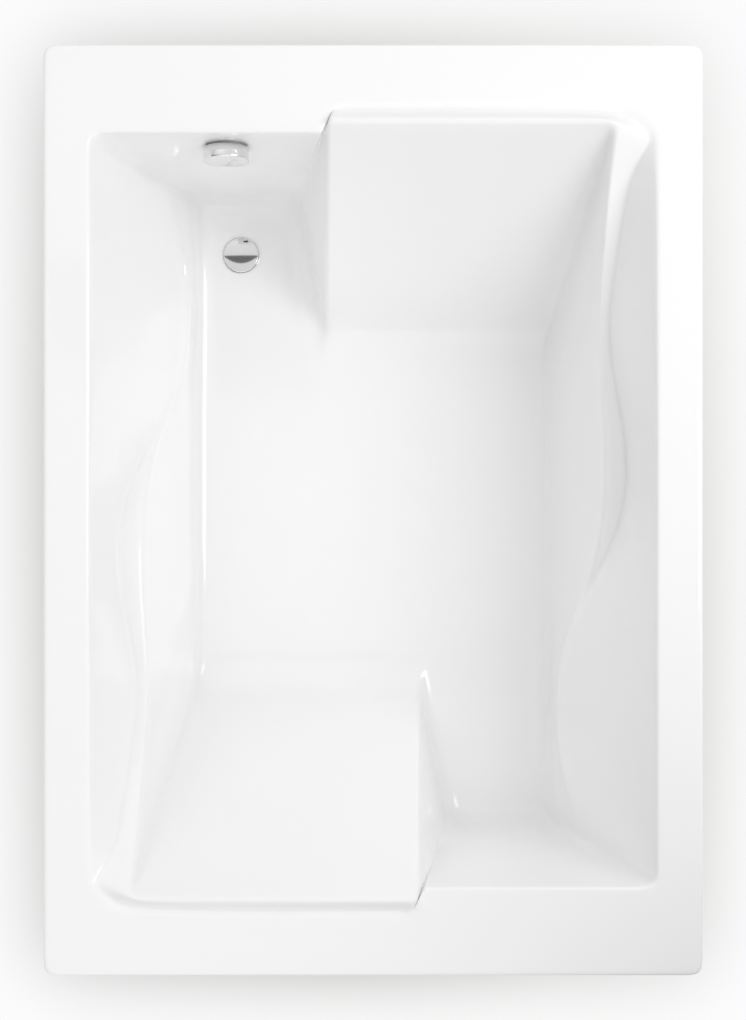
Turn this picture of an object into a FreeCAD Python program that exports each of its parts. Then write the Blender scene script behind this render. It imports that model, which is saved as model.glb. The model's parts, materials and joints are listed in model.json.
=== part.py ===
import FreeCAD, Part
import math
import os
from FreeCAD import Placement, Rotation, Vector

# Two-person drop-in bath: x runs across, y along, z up, the origin is on the floor under the middle.

# Moulding, seen from above
tub_width = 1080.0
tub_length = 1524.0
basin_depth = 450.0
skin = 5.0
rim_drop = 40.0
rim_corner = 18.0
rim_round = 6.0
rim_side = 76.0
rim_end = 145.0
foot_lean = 39.0
side_lean = 138.0
divider_reach = 72.0
divider_back_reach = 86.0
divider_foot_reach = 140.0
divider_step = 12.0

# Raised head lip, which runs on as the inner edge of the armrest
crest_setback = 19.0
crest_inset = 71.0
crest_rise = 19.0
lip_width = 16.0
back_slope_degrees = 33.0

# Softness: how far a bend reaches on each side of its edge
deck_softness = 10.0
wave_softness = 11.0
ridge_softness = 12.0
edge_softness = 12.0
foot_softness = 60.0
back_softness = 95.0
arm_softness = 42.0
divider_softness = 42.0
shoulder_floor_softness = 52.0
corner_softness = 46.0
corner_floor_softness = 76.0
inner_corner_softness = 14.0
inner_corner_floor_softness = 56.0

# Armrest, from the foot to the shoulder: y, then out and down of the trough line, then out and down of the
# ridge, as shares of the opening's half length, its half width and the basin's depth
armrest_shares = (
    (-0.762, 0.760, 0.667, 0.731, 0.744),
    (-0.551, 0.735, 0.756, 0.711, 0.818),
    (-0.373, 0.763, 0.678, 0.741, 0.733),
    (-0.211, 0.836, 0.560, 0.819, 0.582),
    (-0.049, 0.935, 0.467, 0.862, 0.440),
    (0.122, 0.961, 0.422, 0.866, 0.391),
    (0.292, 0.920, 0.400, 0.853, 0.373),
    (0.486, 0.858, 0.356, 0.828, 0.333),
    (0.681, 0.888, 0.267, 0.836, 0.249),
    (0.843, 0.905, 0.144, 0.841, 0.129),
)
# Where the armrest's lines meet the floor's edge, as shares of the way to the foot and to the backrest
floor_foot_shares = (-0.813, -0.640, -0.470, -0.310, -0.156, -0.017)
floor_back_shares = (0.181, 0.361, 0.512, 0.624)
# Shoulder, where the armrest rises to the deck: out and along of each control point, and down
shoulder_deck_shares = ((1.0, 0.908, 0.0), (1.0, 0.960, 0.0), (1.0, 1.008, 0.0), (0.940, 1.057, 0.0),
                        (0.862, 1.083, 0.0))
shoulder_trough_shares = ((0.914, 0.901, 0.089), (0.948, 0.950, 0.040), (0.987, 0.985, 0.004),
                          (0.914, 1.037, 0.0), (0.853, 1.057, 0.0))
shoulder_ridge_shares = ((0.843, 0.927, 0.044), (0.845, 0.982, -0.009))
wall_trough_share = 0.50
wall_ridge_share = 0.62

# Under the moulding
batten_width = 45.0
batten_height = 20.0
batten_gap = 5.0
board_thickness = 15.0
board_gap = 37.0
board_edge = 8.0
board_corner = 25.0
rail_inset = 46.0
rail_width = 40.0
rail_height = 25.0
rail_wall = 2.5
rail_flange = 16.0
rail_screw_share = 0.83
screw_radius = 2.2
screw_head_radius = 4.5
screw_head_height = 2.5
screw_bite = 11.0
screw_clearance = 0.3

# Feet
foot_height = 85.0
foot_inset = 30.0
thread_radius = 6.0
thread_clearance = 0.3
thread_spare = 4.0
nut_across = 19.0
nut_height = 8.0
nut_sides = 6
pad_across = 52.0
pad_top_across = 26.0
pad_height = 16.0
pad_sole = 4.0
pad_sides = 8

# Waste and overflow of the left lane, over each other
waste_inset = 80.0
waste_setback = 103.0
overflow_down = 80.0
seat_clearance = 0.3

# Overflow on the foot wall
overflow_hole_radius = 26.0
knob_radius = 38.5
knob_thickness = 22.0
knob_gap = 5.0
knob_wall = 3.0
knob_bevel = 3.0
knob_hub_radius = 9.0
slot_width = 24.0
slot_height = 9.0
slot_depth = 10.0
spindle_radius = 4.0
spindle_clearance = 0.05
spindle_seat = 6.0
bearing_radius = 7.5
face_radius = 31.0
face_thickness = 3.0
hub_radius = 24.5
hub_bore = 20.0
spoke_width = 5.0
spoke_count = 3
seal_radius = 35.0
seal_thickness = 3.0
elbow_radius = 30.0
elbow_flange = 4.0
elbow_depth = 34.0
elbow_wall = 3.0
crank_length = 19.0
crank_width = 8.0
crank_thickness = 6.0

# Overflow pipe and control cable
pipe_radius = 16.0
pipe_wall = 2.0
pipe_bend = 55.0
pipe_sides = 12
bore_sides = 8
spigot_radius = 18.5
spigot_length = 22.0
spigot_drop = 35.0
cable_radius = 3.0
cable_bend = 32.0
cable_sides = 8
cable_side = 24.5
cable_socket_radius = 5.0
cable_socket_length = 14.0

# Waste in the floor
waste_hole_radius = 27.0
flange_radius = 35.0
flange_rim = 2.0
flange_thickness = 2.5
flange_recess = 0.8
tail_radius = 25.5
tail_bore = 22.0
tail_length = 26.0
guide_radius = 7.0
guide_length = 6.0
waste_seal_radius = 38.0
cup_radius = 31.0
cup_wall = 3.5
cup_rim = 4.0
cup_depth = 64.0
outlet_radius = 20.0
outlet_wall = 3.0
outlet_length = 20.0
plug_radius = 32.0
plug_thickness = 3.5
plug_crown = 1.2
crown_shares = (1.0, 0.75, 0.4, 0.0)
plug_boss_radius = 10.0
plug_boss_height = 6.0
plug_lift = 10.0
plug_seal_radius = 28.0
plug_seal_height = 1.2
stem_radius = 4.0
lever_drop = 46.0
lever_arm = 18.0
lever_crank = 14.0
lever_width = 10.0
lever_thickness = 4.0
lever_nose_radius = 3.0
lever_eye_radius = 5.5
lever_pin_radius = 2.5

# Flat sides of small hardware and of the plumbing under the moulding
small_sides = 10
plumbing_sides = 24
turned_sides = 48

overrun = 20.0

opening_half_width = tub_width / 2 - rim_side
opening_half_length = tub_length / 2 - rim_end
floor_half_width = opening_half_width - side_lean
waste_lane = floor_half_width - waste_inset
crest_reach = opening_half_length + crest_setback
crest_end = opening_half_width - crest_inset
tub_height = basin_depth + skin + board_thickness + rail_height + foot_height
deck_under = tub_height - skin
floor_top = tub_height - basin_depth
floor_under = floor_top - skin
board_under = floor_under - board_thickness
rail_under = board_under - rail_height
up = Vector(0, 0, 1)
os.makedirs("parts", exist_ok=True)


def save(name, shape):
    shape.exportStep("parts/" + name + ".step")


def moved(shape, x=0.0, y=0.0, z=0.0):
    copy = shape.copy()
    copy.translate(Vector(x, y, z))
    return copy


def rod(radius, height, base=Vector(0, 0, 0), axis=up):
    return Part.makeCylinder(radius, height, base, axis)


def block(x_low, x_high, y_low, y_high, z_low, z_high):
    return Part.makeBox(x_high - x_low, y_high - y_low, z_high - z_low, Vector(x_low, y_low, z_low))


def upright_edges(shape):
    return [e for e in shape.Edges if abs(e.Vertexes[0].Z - e.Vertexes[-1].Z) > e.Length / 2]


def level_at(piece, height):
    return abs(piece.BoundBox.ZMin - height) + abs(piece.BoundBox.ZMax - height) < skin / 100


def edges_at(shape, height):
    return [e for e in shape.Edges if level_at(e, height)]


# Control rings of the basin, which run counter-clockwise seen from above

def spot(x, y, down):
    return Vector(x, y, tub_height - down)


def half_turn(point):
    return Vector(-point.x, -point.y, point.z)


def toward(start, goal, distance, most_share):
    leg = goal - start
    if leg.Length == 0:
        return Vector(start)
    return start + leg * min(distance / leg.Length, most_share)


def bend(before, here, after, softness):
    """Five control points that round one corner of a ring."""
    far, near = 0.40, 0.20
    return [toward(here, before, 2 * softness, far), toward(here, before, softness, near), here,
            toward(here, after, softness, near), toward(here, after, 2 * softness, far)]


def whole_ring(arm, shoulder, divider_back, divider_lead, divider_foot, outer_foot, softnesses):
    """One lane's control points, then the same for the other lane, turned by half a turn."""
    edge, inner, outer = softnesses
    half = arm + shoulder
    half = half + bend(shoulder[-1], divider_back, divider_lead, edge)
    half = half + bend(divider_back, divider_foot, outer_foot, inner)
    half = half + bend(divider_foot, outer_foot, half_turn(arm[0]), outer)
    return half + [half_turn(p) for p in half]


def placed(shares, width, length, depth):
    return [spot(out * width, along * length, down * depth) for out, along, down in shares]


foot_floor_reach = opening_half_length - foot_lean
back_floor_reach = crest_reach - (basin_depth + crest_rise) * math.tan(math.radians(back_slope_degrees))
deck_foot_inner = spot(-divider_reach - divider_step, opening_half_length, 0)
deck_foot_outer = spot(-opening_half_width, opening_half_length, 0)
floor_foot_inner = spot(-divider_foot_reach, foot_floor_reach, basin_depth)
floor_foot_outer = spot(-floor_half_width, foot_floor_reach, basin_depth)


def down_wall(top, low, share):
    return top + (low - top) * share


def deck_ring():
    arm = [spot(opening_half_width, row[0] * opening_half_length, 0) for row in armrest_shares]
    shoulder = placed(shoulder_deck_shares, opening_half_width, opening_half_length, basin_depth)
    divider_back = spot(-divider_reach + divider_step, crest_reach + 2 * lip_width, 0)
    return whole_ring(arm, shoulder, divider_back, deck_foot_inner, deck_foot_inner, deck_foot_outer,
                      (edge_softness, inner_corner_softness, corner_softness))


def trough_ring():
    arm = [spot(out * opening_half_width, y * opening_half_length, down * basin_depth)
           for y, out, down, _, _ in armrest_shares]
    shoulder = placed(shoulder_trough_shares, opening_half_width, opening_half_length, basin_depth)
    divider_back = spot(-divider_reach + divider_step / 2, crest_reach + lip_width, 0)
    return whole_ring(arm, shoulder, divider_back, deck_foot_inner - up * edge_softness,
                      down_wall(deck_foot_inner, floor_foot_inner, wall_trough_share),
                      down_wall(deck_foot_outer, floor_foot_outer, wall_trough_share),
                      (edge_softness, (inner_corner_softness + inner_corner_floor_softness) / 2,
                       (corner_softness + corner_floor_softness) / 2))


def ridge_ring():
    arm = [spot(out * opening_half_width, y * opening_half_length, down * basin_depth)
           for y, _, _, out, down in armrest_shares]
    shoulder = placed(shoulder_ridge_shares, opening_half_width, opening_half_length, basin_depth)
    crest = [spot(crest_end - step * 2 * edge_softness, crest_reach, -crest_rise) for step in range(3)]
    return whole_ring(arm, shoulder + crest, spot(-divider_reach, crest_reach, -crest_rise),
                      deck_foot_inner - up * (3 * edge_softness),
                      down_wall(deck_foot_inner, floor_foot_inner, wall_ridge_share),
                      down_wall(deck_foot_outer, floor_foot_outer, wall_ridge_share),
                      (edge_softness, inner_corner_floor_softness, corner_floor_softness))


def floor_ring(steps):
    """The floor's outline, moved inwards by whole steps of each wall's softness."""
    reach = floor_half_width - steps * arm_softness
    back = back_floor_reach - steps * back_softness
    foot = foot_floor_reach - steps * foot_softness
    spread = steps * divider_softness
    arm = [spot(reach, share * foot, basin_depth) for share in floor_foot_shares]
    arm += [spot(reach, share * back, basin_depth) for share in floor_back_shares]
    foot_outer = spot(-reach, foot, basin_depth)
    corner = spot(reach, back, basin_depth)
    divider_back = spot(-divider_back_reach - spread, back, basin_depth)
    divider_foot = spot(-divider_foot_reach - spread, foot, basin_depth)
    shoulder = bend(arm[-1], corner, divider_back, shoulder_floor_softness)
    return whole_ring(arm, shoulder, divider_back, divider_foot, divider_foot, foot_outer,
                      (edge_softness, inner_corner_floor_softness, corner_floor_softness))


# Side of each control point of half a ring: the softness of its bend into the floor
side_softness = ([arm_softness] * 12 + [(arm_softness + back_softness) / 2] + [back_softness] * 4
                 + [divider_softness] * 5 + [(divider_softness + foot_softness) / 2]
                 + [foot_softness] * 4 + [(foot_softness + arm_softness) / 2] + [arm_softness] * 2)


def outward(ring, distance):
    """A ring on the deck, moved away from the opening."""
    moved_ring = []
    for index, here in enumerate(ring):
        before, after = ring[index - 1], ring[(index + 1) % len(ring)]
        first, second = (here - before).cross(up), (after - here).cross(up)
        first.normalize()
        second.normalize()
        way = first + second
        moved_ring.append(here + way * (distance * 2 / way.Length ** 2))
    return moved_ring


def control_rings():
    deck, trough, ridge = deck_ring(), trough_ring(), ridge_ring()
    floor, inside, middle = floor_ring(0), floor_ring(1), floor_ring(2)
    around = range(len(deck))
    half = len(deck) // 2
    third, most = 0.30, 0.45
    return [
        outward(deck, 2 * deck_softness),
        outward(deck, deck_softness),
        deck,
        [toward(deck[i], trough[i], deck_softness, third) for i in around],
        [toward(trough[i], deck[i], wave_softness, third) for i in around],
        trough,
        ridge,
        [toward(ridge[i], floor[i], ridge_softness, third) for i in around],
        [toward(floor[i], ridge[i], side_softness[i % half], most) for i in around],
        floor,
        inside,
        middle,
    ]


def blended(points, place):
    """The point of a cubic curve at a place between its control points, in a closed row or an open one."""
    index = int(math.floor(place))
    t = place - index
    weights = ((1 - t) ** 3, 3 * t ** 3 - 6 * t ** 2 + 4, -3 * t ** 3 + 3 * t ** 2 + 3 * t + 1, t ** 3)
    total = Vector(0, 0, 0)
    for step, weight in enumerate(weights):
        if weight:
            total = total + points[(index - 1 + step) % len(points)] * (weight / 6)
    return total


# Places round half a ring where the moulding is measured: each arm station, and five in each corner
arm_count = len(armrest_shares)
arm_places = sorted(list(range(arm_count)) + [1.5, 2.5, 3.5, 4.5, 5.5, 6.5])
corner_steps = (-1.0, -0.5, 0.0, 0.5, 1.0)
corner_places = [arm_count + 5 * corner + 2 + step for corner in range(4) for step in corner_steps]
half_places = arm_places + corner_places
half_count = arm_count + 20
ring_places = half_places + [place + half_count for place in half_places]
inner_rows = (1, 1.7, 2.3, 3, 4, 5, 5.5, 6, 6.5, 7, 8, 8.5, 9, 9.5, 10)
outer_rows = (1, 2, 3, 5, 6, 8, 9, 10)


def surface_grid(rings, rows):
    grid = []
    for row in rows:
        line = [blended([ring[i] for ring in rings], row) for i in range(len(rings[0]))]
        grid.append([blended(line, place) for place in ring_places])
    return grid


def backed(rings, distance):
    """The control rings of the sheet's hidden face: each point moves across the cells that meet there."""
    count = len(rings[0])
    most_mitre = 1.6

    def cell_normal(k, i):
        k, low = min(max(k, 0), len(rings) - 2), i % count
        high = (low + 1) % count
        normal = (rings[k + 1][high] - rings[k][low]).cross(rings[k][high] - rings[k + 1][low])
        return normal.normalize()

    result = []
    for k, ring in enumerate(rings[:-2]):
        row = []
        for i, here in enumerate(ring):
            cells = [cell_normal(row_index, place) for row_index in (k - 1, k) for place in (i - 1, i)]
            way = sum(cells, Vector(0, 0, 0))
            mitre = min(len(cells) / way.Length, most_mitre)
            row.append(here + way.normalize() * (distance * mitre))
        result.append(row)
    result += rings[-2:]
    for k in (0, 1, 2):
        result[k] = [Vector(p.x, p.y, deck_under) for p in result[k]]
    for k in (-3, -2, -1):
        result[k] = [Vector(p.x, p.y, floor_under) for p in result[k]]
    return result


def facets(grid, flip):
    """Flat triangles between neighbouring rows of points."""
    faces = []
    count = len(grid[0])
    for low, high in zip(grid, grid[1:]):
        for i in range(count):
            j = (i + 1) % count
            for corners in ((low[i], low[j], high[j]), (low[i], high[j], high[i])):
                if flip:
                    corners = corners[::-1]
                faces.append(Part.Face(Part.makePolygon(list(corners) + [corners[0]])))
    return faces


def ring_wire(points):
    return Part.makePolygon(points + [points[0]])


def closed_solid(faces):
    skins = Part.Compound(faces)
    skins.sewShape()
    solid = Part.Solid(skins.Shells[0])
    if solid.Volume < 0:
        solid.reverse()
    return solid


def rim_tray():
    """The deck plate with its turned-down lip, still without the basin."""
    half_width, half_length = tub_width / 2, tub_length / 2
    outer = block(-half_width, half_width, -half_length, half_length, tub_height - rim_drop, tub_height)
    outer = outer.makeFillet(rim_corner, upright_edges(outer))
    outer = outer.makeFillet(rim_round, edges_at(outer, tub_height))
    inner = block(-half_width + skin, half_width - skin, -half_length + skin, half_length - skin,
                  tub_height - rim_drop - overrun, deck_under)
    inner = inner.makeFillet(rim_corner - skin, upright_edges(inner))
    return outer.cut(inner)


def level_face(shape, height):
    """The widest flat face at a height."""
    return max([f for f in shape.Faces if level_at(f, height)], key=lambda face: face.Area)


rings = control_rings()
air_grid = surface_grid(rings, inner_rows)
back_grid = surface_grid(backed(rings, skin), outer_rows)


def acrylic_shell():
    tray = rim_tray()
    top, under = level_face(tray, tub_height), level_face(tray, deck_under)
    faces = [f for f in tray.Faces if not f.isSame(top) and not f.isSame(under)]
    faces += top.cut(Part.Face(ring_wire(air_grid[0]))).Faces
    faces += under.cut(Part.Face(ring_wire(back_grid[0]))).Faces
    faces += facets(air_grid, False) + [Part.Face(ring_wire(air_grid[-1]))]
    faces += facets(back_grid, True) + [Part.Face(ring_wire(back_grid[-1]))]
    shell = closed_solid(faces).removeSplitter()
    holes = [wall_placed(rod(overflow_hole_radius, 2 * overrun, up * -overrun)),
             at_waste(rod(waste_hole_radius, 2 * overrun, up * -overrun))]
    return shell.cut(holes)


# The overflow's own frame: its z points out of the foot wall into the bath, its y up the wall

wall_lean = math.degrees(math.atan2(foot_lean, basin_depth))
overflow_along = opening_half_length - foot_lean * overflow_down / basin_depth
wall_frame = Placement(Vector(-waste_lane, overflow_along, tub_height - overflow_down),
                       Rotation(Vector(1, 0, 0), 90 - wall_lean))
waste_along = foot_floor_reach - waste_setback


def wall_placed(shape):
    copy = shape.copy()
    copy.Placement = wall_frame.multiply(copy.Placement)
    return copy


def at_waste(shape):
    """Onto the waste's upright axis; heights there count from the floor's upper face."""
    return moved(shape, x=-waste_lane, y=waste_along, z=floor_top)


def prism(points, height):
    return Part.Face(ring_wire(points)).extrude(Vector(0, 0, height))


def around(across, sides, x, y, low):
    """The corners of a regular outline, by its width across flats."""
    reach = across / 2 / math.cos(math.pi / sides)
    turns = [2 * math.pi * (k + 0.5) / sides for k in range(sides)]
    return [Vector(x + reach * math.cos(turn), y + reach * math.sin(turn), low) for turn in turns]


def peg(radius, height, base=Vector(0, 0, 0), axis=up, sides=small_sides):
    """A shank or hole with flat sides that touch the radius."""
    shape = prism(around(2 * radius, sides, 0, 0, 0), height)
    shape.Placement = Placement(base, Rotation(up, axis))
    return shape


def drum(radius, height, base=Vector(0, 0, 0), axis=up):
    return peg(radius, height, base, axis, plumbing_sides)


def washer(radius, bore, height, base):
    return drum(radius, height, base).cut(drum(bore, height, base))


def turned(profile):
    """A closed outline of (radius, height) points, carried round the axis in narrow flat sides."""
    turns = [2 * math.pi * k / turned_sides for k in range(turned_sides)]
    rounds = [[Vector(r * math.cos(turn), r * math.sin(turn), z) for turn in turns] for r, z in profile]
    faces = []
    for low, high in zip(rounds, rounds[1:] + rounds[:1]):
        for k in range(turned_sides):
            corners = [low[k - 1], low[k], high[k], high[k - 1]]
            corners = [p for i, p in enumerate(corners) if p != corners[i - 1]]
            if len(corners) > 2:
                faces.append(Part.Face(ring_wire(corners)))
    return closed_solid(faces)


def spokes(inner, outer, low, high):
    """Radial webs that hold a bearing in the middle of a bore, the first one straight up."""
    arms = []
    for k in range(spoke_count):
        arm = block(inner, outer, -spoke_width / 2, spoke_width / 2, low, high)
        arms.append(arm.rotate(Vector(0, 0, 0), up, 90 + 360 * k / spoke_count))
    return arms


# Base board, battens and rails

board_side = floor_half_width - arm_softness - board_edge
rail_reach = board_side - rail_inset
board_back = back_floor_reach - back_softness - board_edge
divider_slope = (divider_foot_reach - divider_back_reach) / (foot_floor_reach - back_floor_reach)
board_divider = divider_back_reach + divider_softness + board_edge
board_reach = waste_along - waste_seal_radius - board_gap
foot_spacing = board_reach - foot_inset
board_tip = board_divider + divider_slope * (board_reach - board_back)


def base_board():
    half = [(board_side, -board_reach), (board_side, board_back), (-board_divider, board_back),
            (-board_tip, board_reach)]
    outline = [Vector(x, y, board_under) for x, y in half]
    outline += [half_turn(p) for p in outline]
    shortest = min((here - before).Length for before, here in zip(outline, outline[1:]))
    board = prism(outline, board_thickness)
    board = board.makeFillet(min(board_corner, shortest / 3), upright_edges(board))
    return board.cut([peg(screw_radius + screw_clearance, screw_bite + screw_clearance, place)
                      for place in screw_places()])


def long_batten(side):
    outer = tub_width / 2 - skin - batten_gap
    reach = opening_half_length + corner_softness
    strip = block(outer - batten_width, outer, -reach, reach, deck_under - batten_height, deck_under)
    return moved(strip, x=0 if side > 0 else batten_width - 2 * outer)


def end_batten(side):
    outer = tub_length / 2 - skin - batten_gap
    strip = block(-opening_half_width, opening_half_width, outer - batten_width, outer,
                  deck_under - batten_height, deck_under)
    return moved(strip, y=0 if side > 0 else batten_width - 2 * outer)


def screw_places():
    """Through both flanges of each rail, where the board lies over them."""
    places = []
    for side in (1, -1):
        for out in (-1, 1):
            x = side * rail_reach + out * (rail_width + rail_flange) / 2
            places += [Vector(x, side * along * rail_screw_share, board_under)
                       for along in (-board_reach, board_back)]
    return places


def foot_places():
    return [(side * rail_reach, along * foot_spacing) for side in (-1, 1) for along in (-1, 1)]


def cradle_rail(side):
    """A folded steel hat section, open to the board, with holes for its feet and its screws."""
    half = rail_width / 2
    lip = rail_height - rail_wall
    right = [(half, 0), (half, lip), (half + rail_flange, lip), (half + rail_flange, rail_height),
             (half - rail_wall, rail_height), (half - rail_wall, rail_wall)]
    profile = right + [(-x, z) for x, z in reversed(right)]
    corners = [Vector(side * rail_reach + x, -board_reach, rail_under + z) for x, z in profile]
    rail = Part.Face(ring_wire(corners)).extrude(Vector(0, 2 * board_reach, 0))
    deep = rail_wall + overrun / 2
    holes = [peg(thread_radius + thread_clearance, deep, Vector(x, y, rail_under - overrun / 2))
             for x, y in foot_places() if x * side > 0]
    holes += [peg(screw_radius + screw_clearance, deep, place - up * (rail_wall + overrun / 4))
              for place in screw_places() if place.x * side > 0]
    return rail.cut(holes)


def board_screws():
    screws = []
    for place in screw_places():
        head = peg(screw_head_radius, screw_head_height, place - up * (rail_wall + screw_head_height))
        screws.append(head.fuse(peg(screw_radius, rail_wall + screw_bite, place - up * rail_wall)))
    return Part.Compound(screws)


# Feet

def rail_nuts():
    """A nut each side of the rail's web on every foot screw."""
    nuts = []
    for x, y in foot_places():
        for low in (rail_under - nut_height, rail_under + rail_wall):
            start = Vector(x, y, low - overrun / 2)
            bore = peg(thread_radius + thread_clearance, nut_height + overrun, start)
            nuts.append(prism(around(nut_across, nut_sides, x, y, low), nut_height).cut(bore))
    return Part.Compound(nuts)


def foot_screw(x, y):
    top = rail_under + rail_wall + nut_height + thread_spare
    return peg(thread_radius, top - pad_sole, Vector(x, y, pad_sole))


def foot_pad(x, y):
    """A moulded foot with eight sides, which tapers from its sole to the socket for the screw."""
    outlines = [around(across, pad_sides, x, y, height) for across, height in
                ((pad_across, 0), (pad_across, pad_sole), (pad_top_across, pad_height))]
    faces = [Part.Face(ring_wire(outlines[0])), Part.Face(ring_wire(outlines[-1]))]
    for low, high in zip(outlines, outlines[1:]):
        faces += [Part.Face(ring_wire([low[k - 1], low[k], high[k], high[k - 1]])) for k in range(pad_sides)]
    return closed_solid(faces).cut(peg(thread_radius, pad_height, Vector(x, y, pad_sole)))


# Overflow, in the wall's own frame: z = 0 is the wall's face in the bath

face_back = -skin - seal_thickness
elbow_rim = face_back - elbow_flange
elbow_back = face_back - elbow_depth
pipe_level = (elbow_rim + elbow_back) / 2
spindle_bore = spindle_radius + spindle_clearance


def overflow_face():
    """The ring clamped in the wall's hole, with webs to the spindle's front bearing."""
    end = elbow_rim - 2 * seat_clearance
    ring = drum(face_radius, face_thickness).fuse(drum(hub_radius, face_thickness - end, up * end))
    ring = ring.cut(drum(hub_bore, overrun + face_thickness - end, up * end))
    webs = spokes(0, (hub_bore + hub_radius) / 2, -skin, face_thickness)
    bearing = peg(bearing_radius, face_thickness + skin, up * -skin)
    bore = rod(spindle_bore, overrun, up * (face_thickness - overrun))
    return ring.fuse([bearing] + webs).removeSplitter().cut(bore)


def overflow_seal():
    return washer(seal_radius, overflow_hole_radius, seal_thickness, up * face_back)


def overflow_elbow():
    """The cup behind the wall: clamped rim, rear bearing, spigot down to the pipe, socket for the cable."""
    down = Vector(0, -1, 0)
    cable_at = Vector(cable_side, 0, pipe_level)
    shape = drum(seal_radius, elbow_flange, up * elbow_rim).fuse([
        drum(elbow_radius, elbow_rim - elbow_back, up * elbow_back),
        drum(spigot_radius, elbow_radius + spigot_length, up * pipe_level, down),
        peg(cable_socket_radius, elbow_radius + cable_socket_length, cable_at, down)])
    inner = elbow_radius - elbow_wall
    shape = shape.cut([drum(inner, elbow_rim - elbow_back - elbow_wall, up * (elbow_back + elbow_wall)),
                       drum(hub_radius + seat_clearance, elbow_flange + overrun, up * elbow_rim)])
    shape = shape.fuse(peg(bearing_radius, elbow_wall + spindle_seat, up * elbow_back))
    mouth = inner - elbow_wall
    pipe_seat = pipe_radius + seat_clearance / 3
    socket_at = cable_at + down * elbow_radius
    return shape.cut([
        rod(spindle_bore, overrun, up * (elbow_back + elbow_wall / 2)),
        drum(pipe_radius - pipe_wall, elbow_radius - mouth, Vector(0, -mouth, pipe_level), down),
        drum(pipe_seat, spigot_length + overrun, Vector(0, -elbow_radius, pipe_level), down),
        peg(cable_radius / 2, elbow_radius, cable_at, down),
        peg(cable_radius + seat_clearance, cable_socket_length + overrun, socket_at, down)])


def knob_spindle():
    low = elbow_back + elbow_wall / 2 + seat_clearance
    return rod(spindle_radius, knob_gap + knob_thickness - knob_wall - low, up * low)


def cable_crank():
    """The arm on the spindle that pulls the cable's wire."""
    low = elbow_back + elbow_wall + spindle_seat + seat_clearance
    arm = block(0, crank_length, -crank_width / 2, crank_width / 2, low, low + crank_thickness)
    eye = peg(bearing_radius, crank_thickness, up * low)
    end = peg(crank_width / 2, crank_thickness, Vector(crank_length, 0, low))
    return arm.fuse([eye, end]).removeSplitter().cut(rod(spindle_bore, crank_thickness + overrun, up * low))


def overflow_knob():
    """A cap over the overflow, with a slot for the water in its lower edge."""
    front = knob_gap + knob_thickness
    outside = turned([(0, knob_gap), (knob_radius, knob_gap), (knob_radius, front - knob_bevel),
                      (knob_radius - knob_bevel, front), (0, front)])
    inner = knob_radius - knob_wall
    hollow = drum(inner, knob_thickness - knob_wall, up * knob_gap)
    hub = peg(knob_hub_radius, knob_thickness, up * knob_gap)
    bore = rod(spindle_bore, knob_thickness - knob_wall, up * knob_gap)
    slot = block(-slot_width / 2, slot_width / 2, -knob_radius - overrun, slot_height - knob_radius,
                 front - slot_depth, front + overrun)
    return outside.cut(hollow.cut(hub)).cut([bore, slot])


# Waste, round its own upright axis

cup_top = -skin - seal_thickness
cup_floor = cup_top - cup_depth
plug_under = flange_recess + seat_clearance + plug_seal_height
lever_swing = 2 * math.degrees(math.asin(plug_lift / 2 / lever_arm))
stem_low = -lever_drop - plug_lift / 2 + lever_nose_radius + seat_clearance


def waste_flange():
    """The strainer: a recessed rim in the floor, a tail through it and a guide for the plug's stem."""
    seat = flange_radius - flange_rim
    ring = turned([(tail_bore, -tail_length), (tail_radius, -tail_length), (tail_radius, 0),
                   (flange_radius, 0), (flange_radius, flange_recess), (seat, flange_thickness),
                   (seat, flange_recess), (tail_bore, flange_recess)])
    guide = peg(guide_radius, guide_length, up * -tail_length)
    webs = spokes(0, (tail_bore + tail_radius) / 2, -tail_length, guide_length - tail_length)
    bore = peg(stem_radius + seat_clearance, overrun, up * (guide_length - tail_length - overrun))
    return ring.fuse([guide] + webs).removeSplitter().cut(bore)


def waste_seal():
    return washer(waste_seal_radius, waste_hole_radius, seal_thickness, up * cup_top)


def waste_body():
    """The cup under the floor: clamped rim, spigot, cable socket, seats for the lever's pin, outlet."""
    back, side = Vector(0, 1, 0), Vector(1, 0, 0)
    shape = drum(waste_seal_radius, cup_rim, up * (cup_top - cup_rim)).fuse([
        drum(cup_radius, cup_depth, up * cup_floor),
        rod(outlet_radius, outlet_length + cup_wall, up * (cup_floor - outlet_length)),
        drum(spigot_radius, cup_radius + spigot_length, up * -spigot_drop, back),
        peg(cable_socket_radius, cup_radius + cable_socket_length, up * -cable_drop, back)])
    inner = cup_radius - cup_wall
    tail_floor = -tail_length - seat_clearance
    pipe_seat = pipe_radius + seat_clearance / 3
    socket_at = Vector(0, cup_radius, -cable_drop)
    return shape.cut([
        drum(inner, tail_floor - cup_floor - cup_wall, up * (cup_floor + cup_wall)),
        drum(tail_radius + seat_clearance, overrun - tail_floor, up * tail_floor),
        drum(outlet_radius - outlet_wall, outlet_length + cup_wall + overrun,
             up * (cup_floor - outlet_length - overrun)),
        drum(pipe_radius - pipe_wall, 2 * cup_wall, Vector(0, inner - cup_wall, -spigot_drop), back),
        drum(pipe_seat, spigot_length + overrun, Vector(0, cup_radius, -spigot_drop), back),
        peg(cable_radius / 2, cup_radius, Vector(0, 0, -cable_drop), back),
        peg(cable_radius + seat_clearance, cable_socket_length + overrun, socket_at, back),
        peg(lever_pin_radius + seat_clearance / 3, 2 * lever_pin_reach,
            Vector(-lever_pin_reach, lever_arm, -lever_drop), side)])


cable_drop = lever_drop + lever_crank
lever_pin_reach = math.sqrt(cup_radius ** 2 - (lever_arm + lever_pin_radius) ** 2) - cup_wall / 3


def lever_pin():
    reach = lever_pin_reach - seat_clearance
    return rod(lever_pin_radius, 2 * reach, Vector(-reach, lever_arm, -lever_drop), Vector(1, 0, 0))


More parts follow.
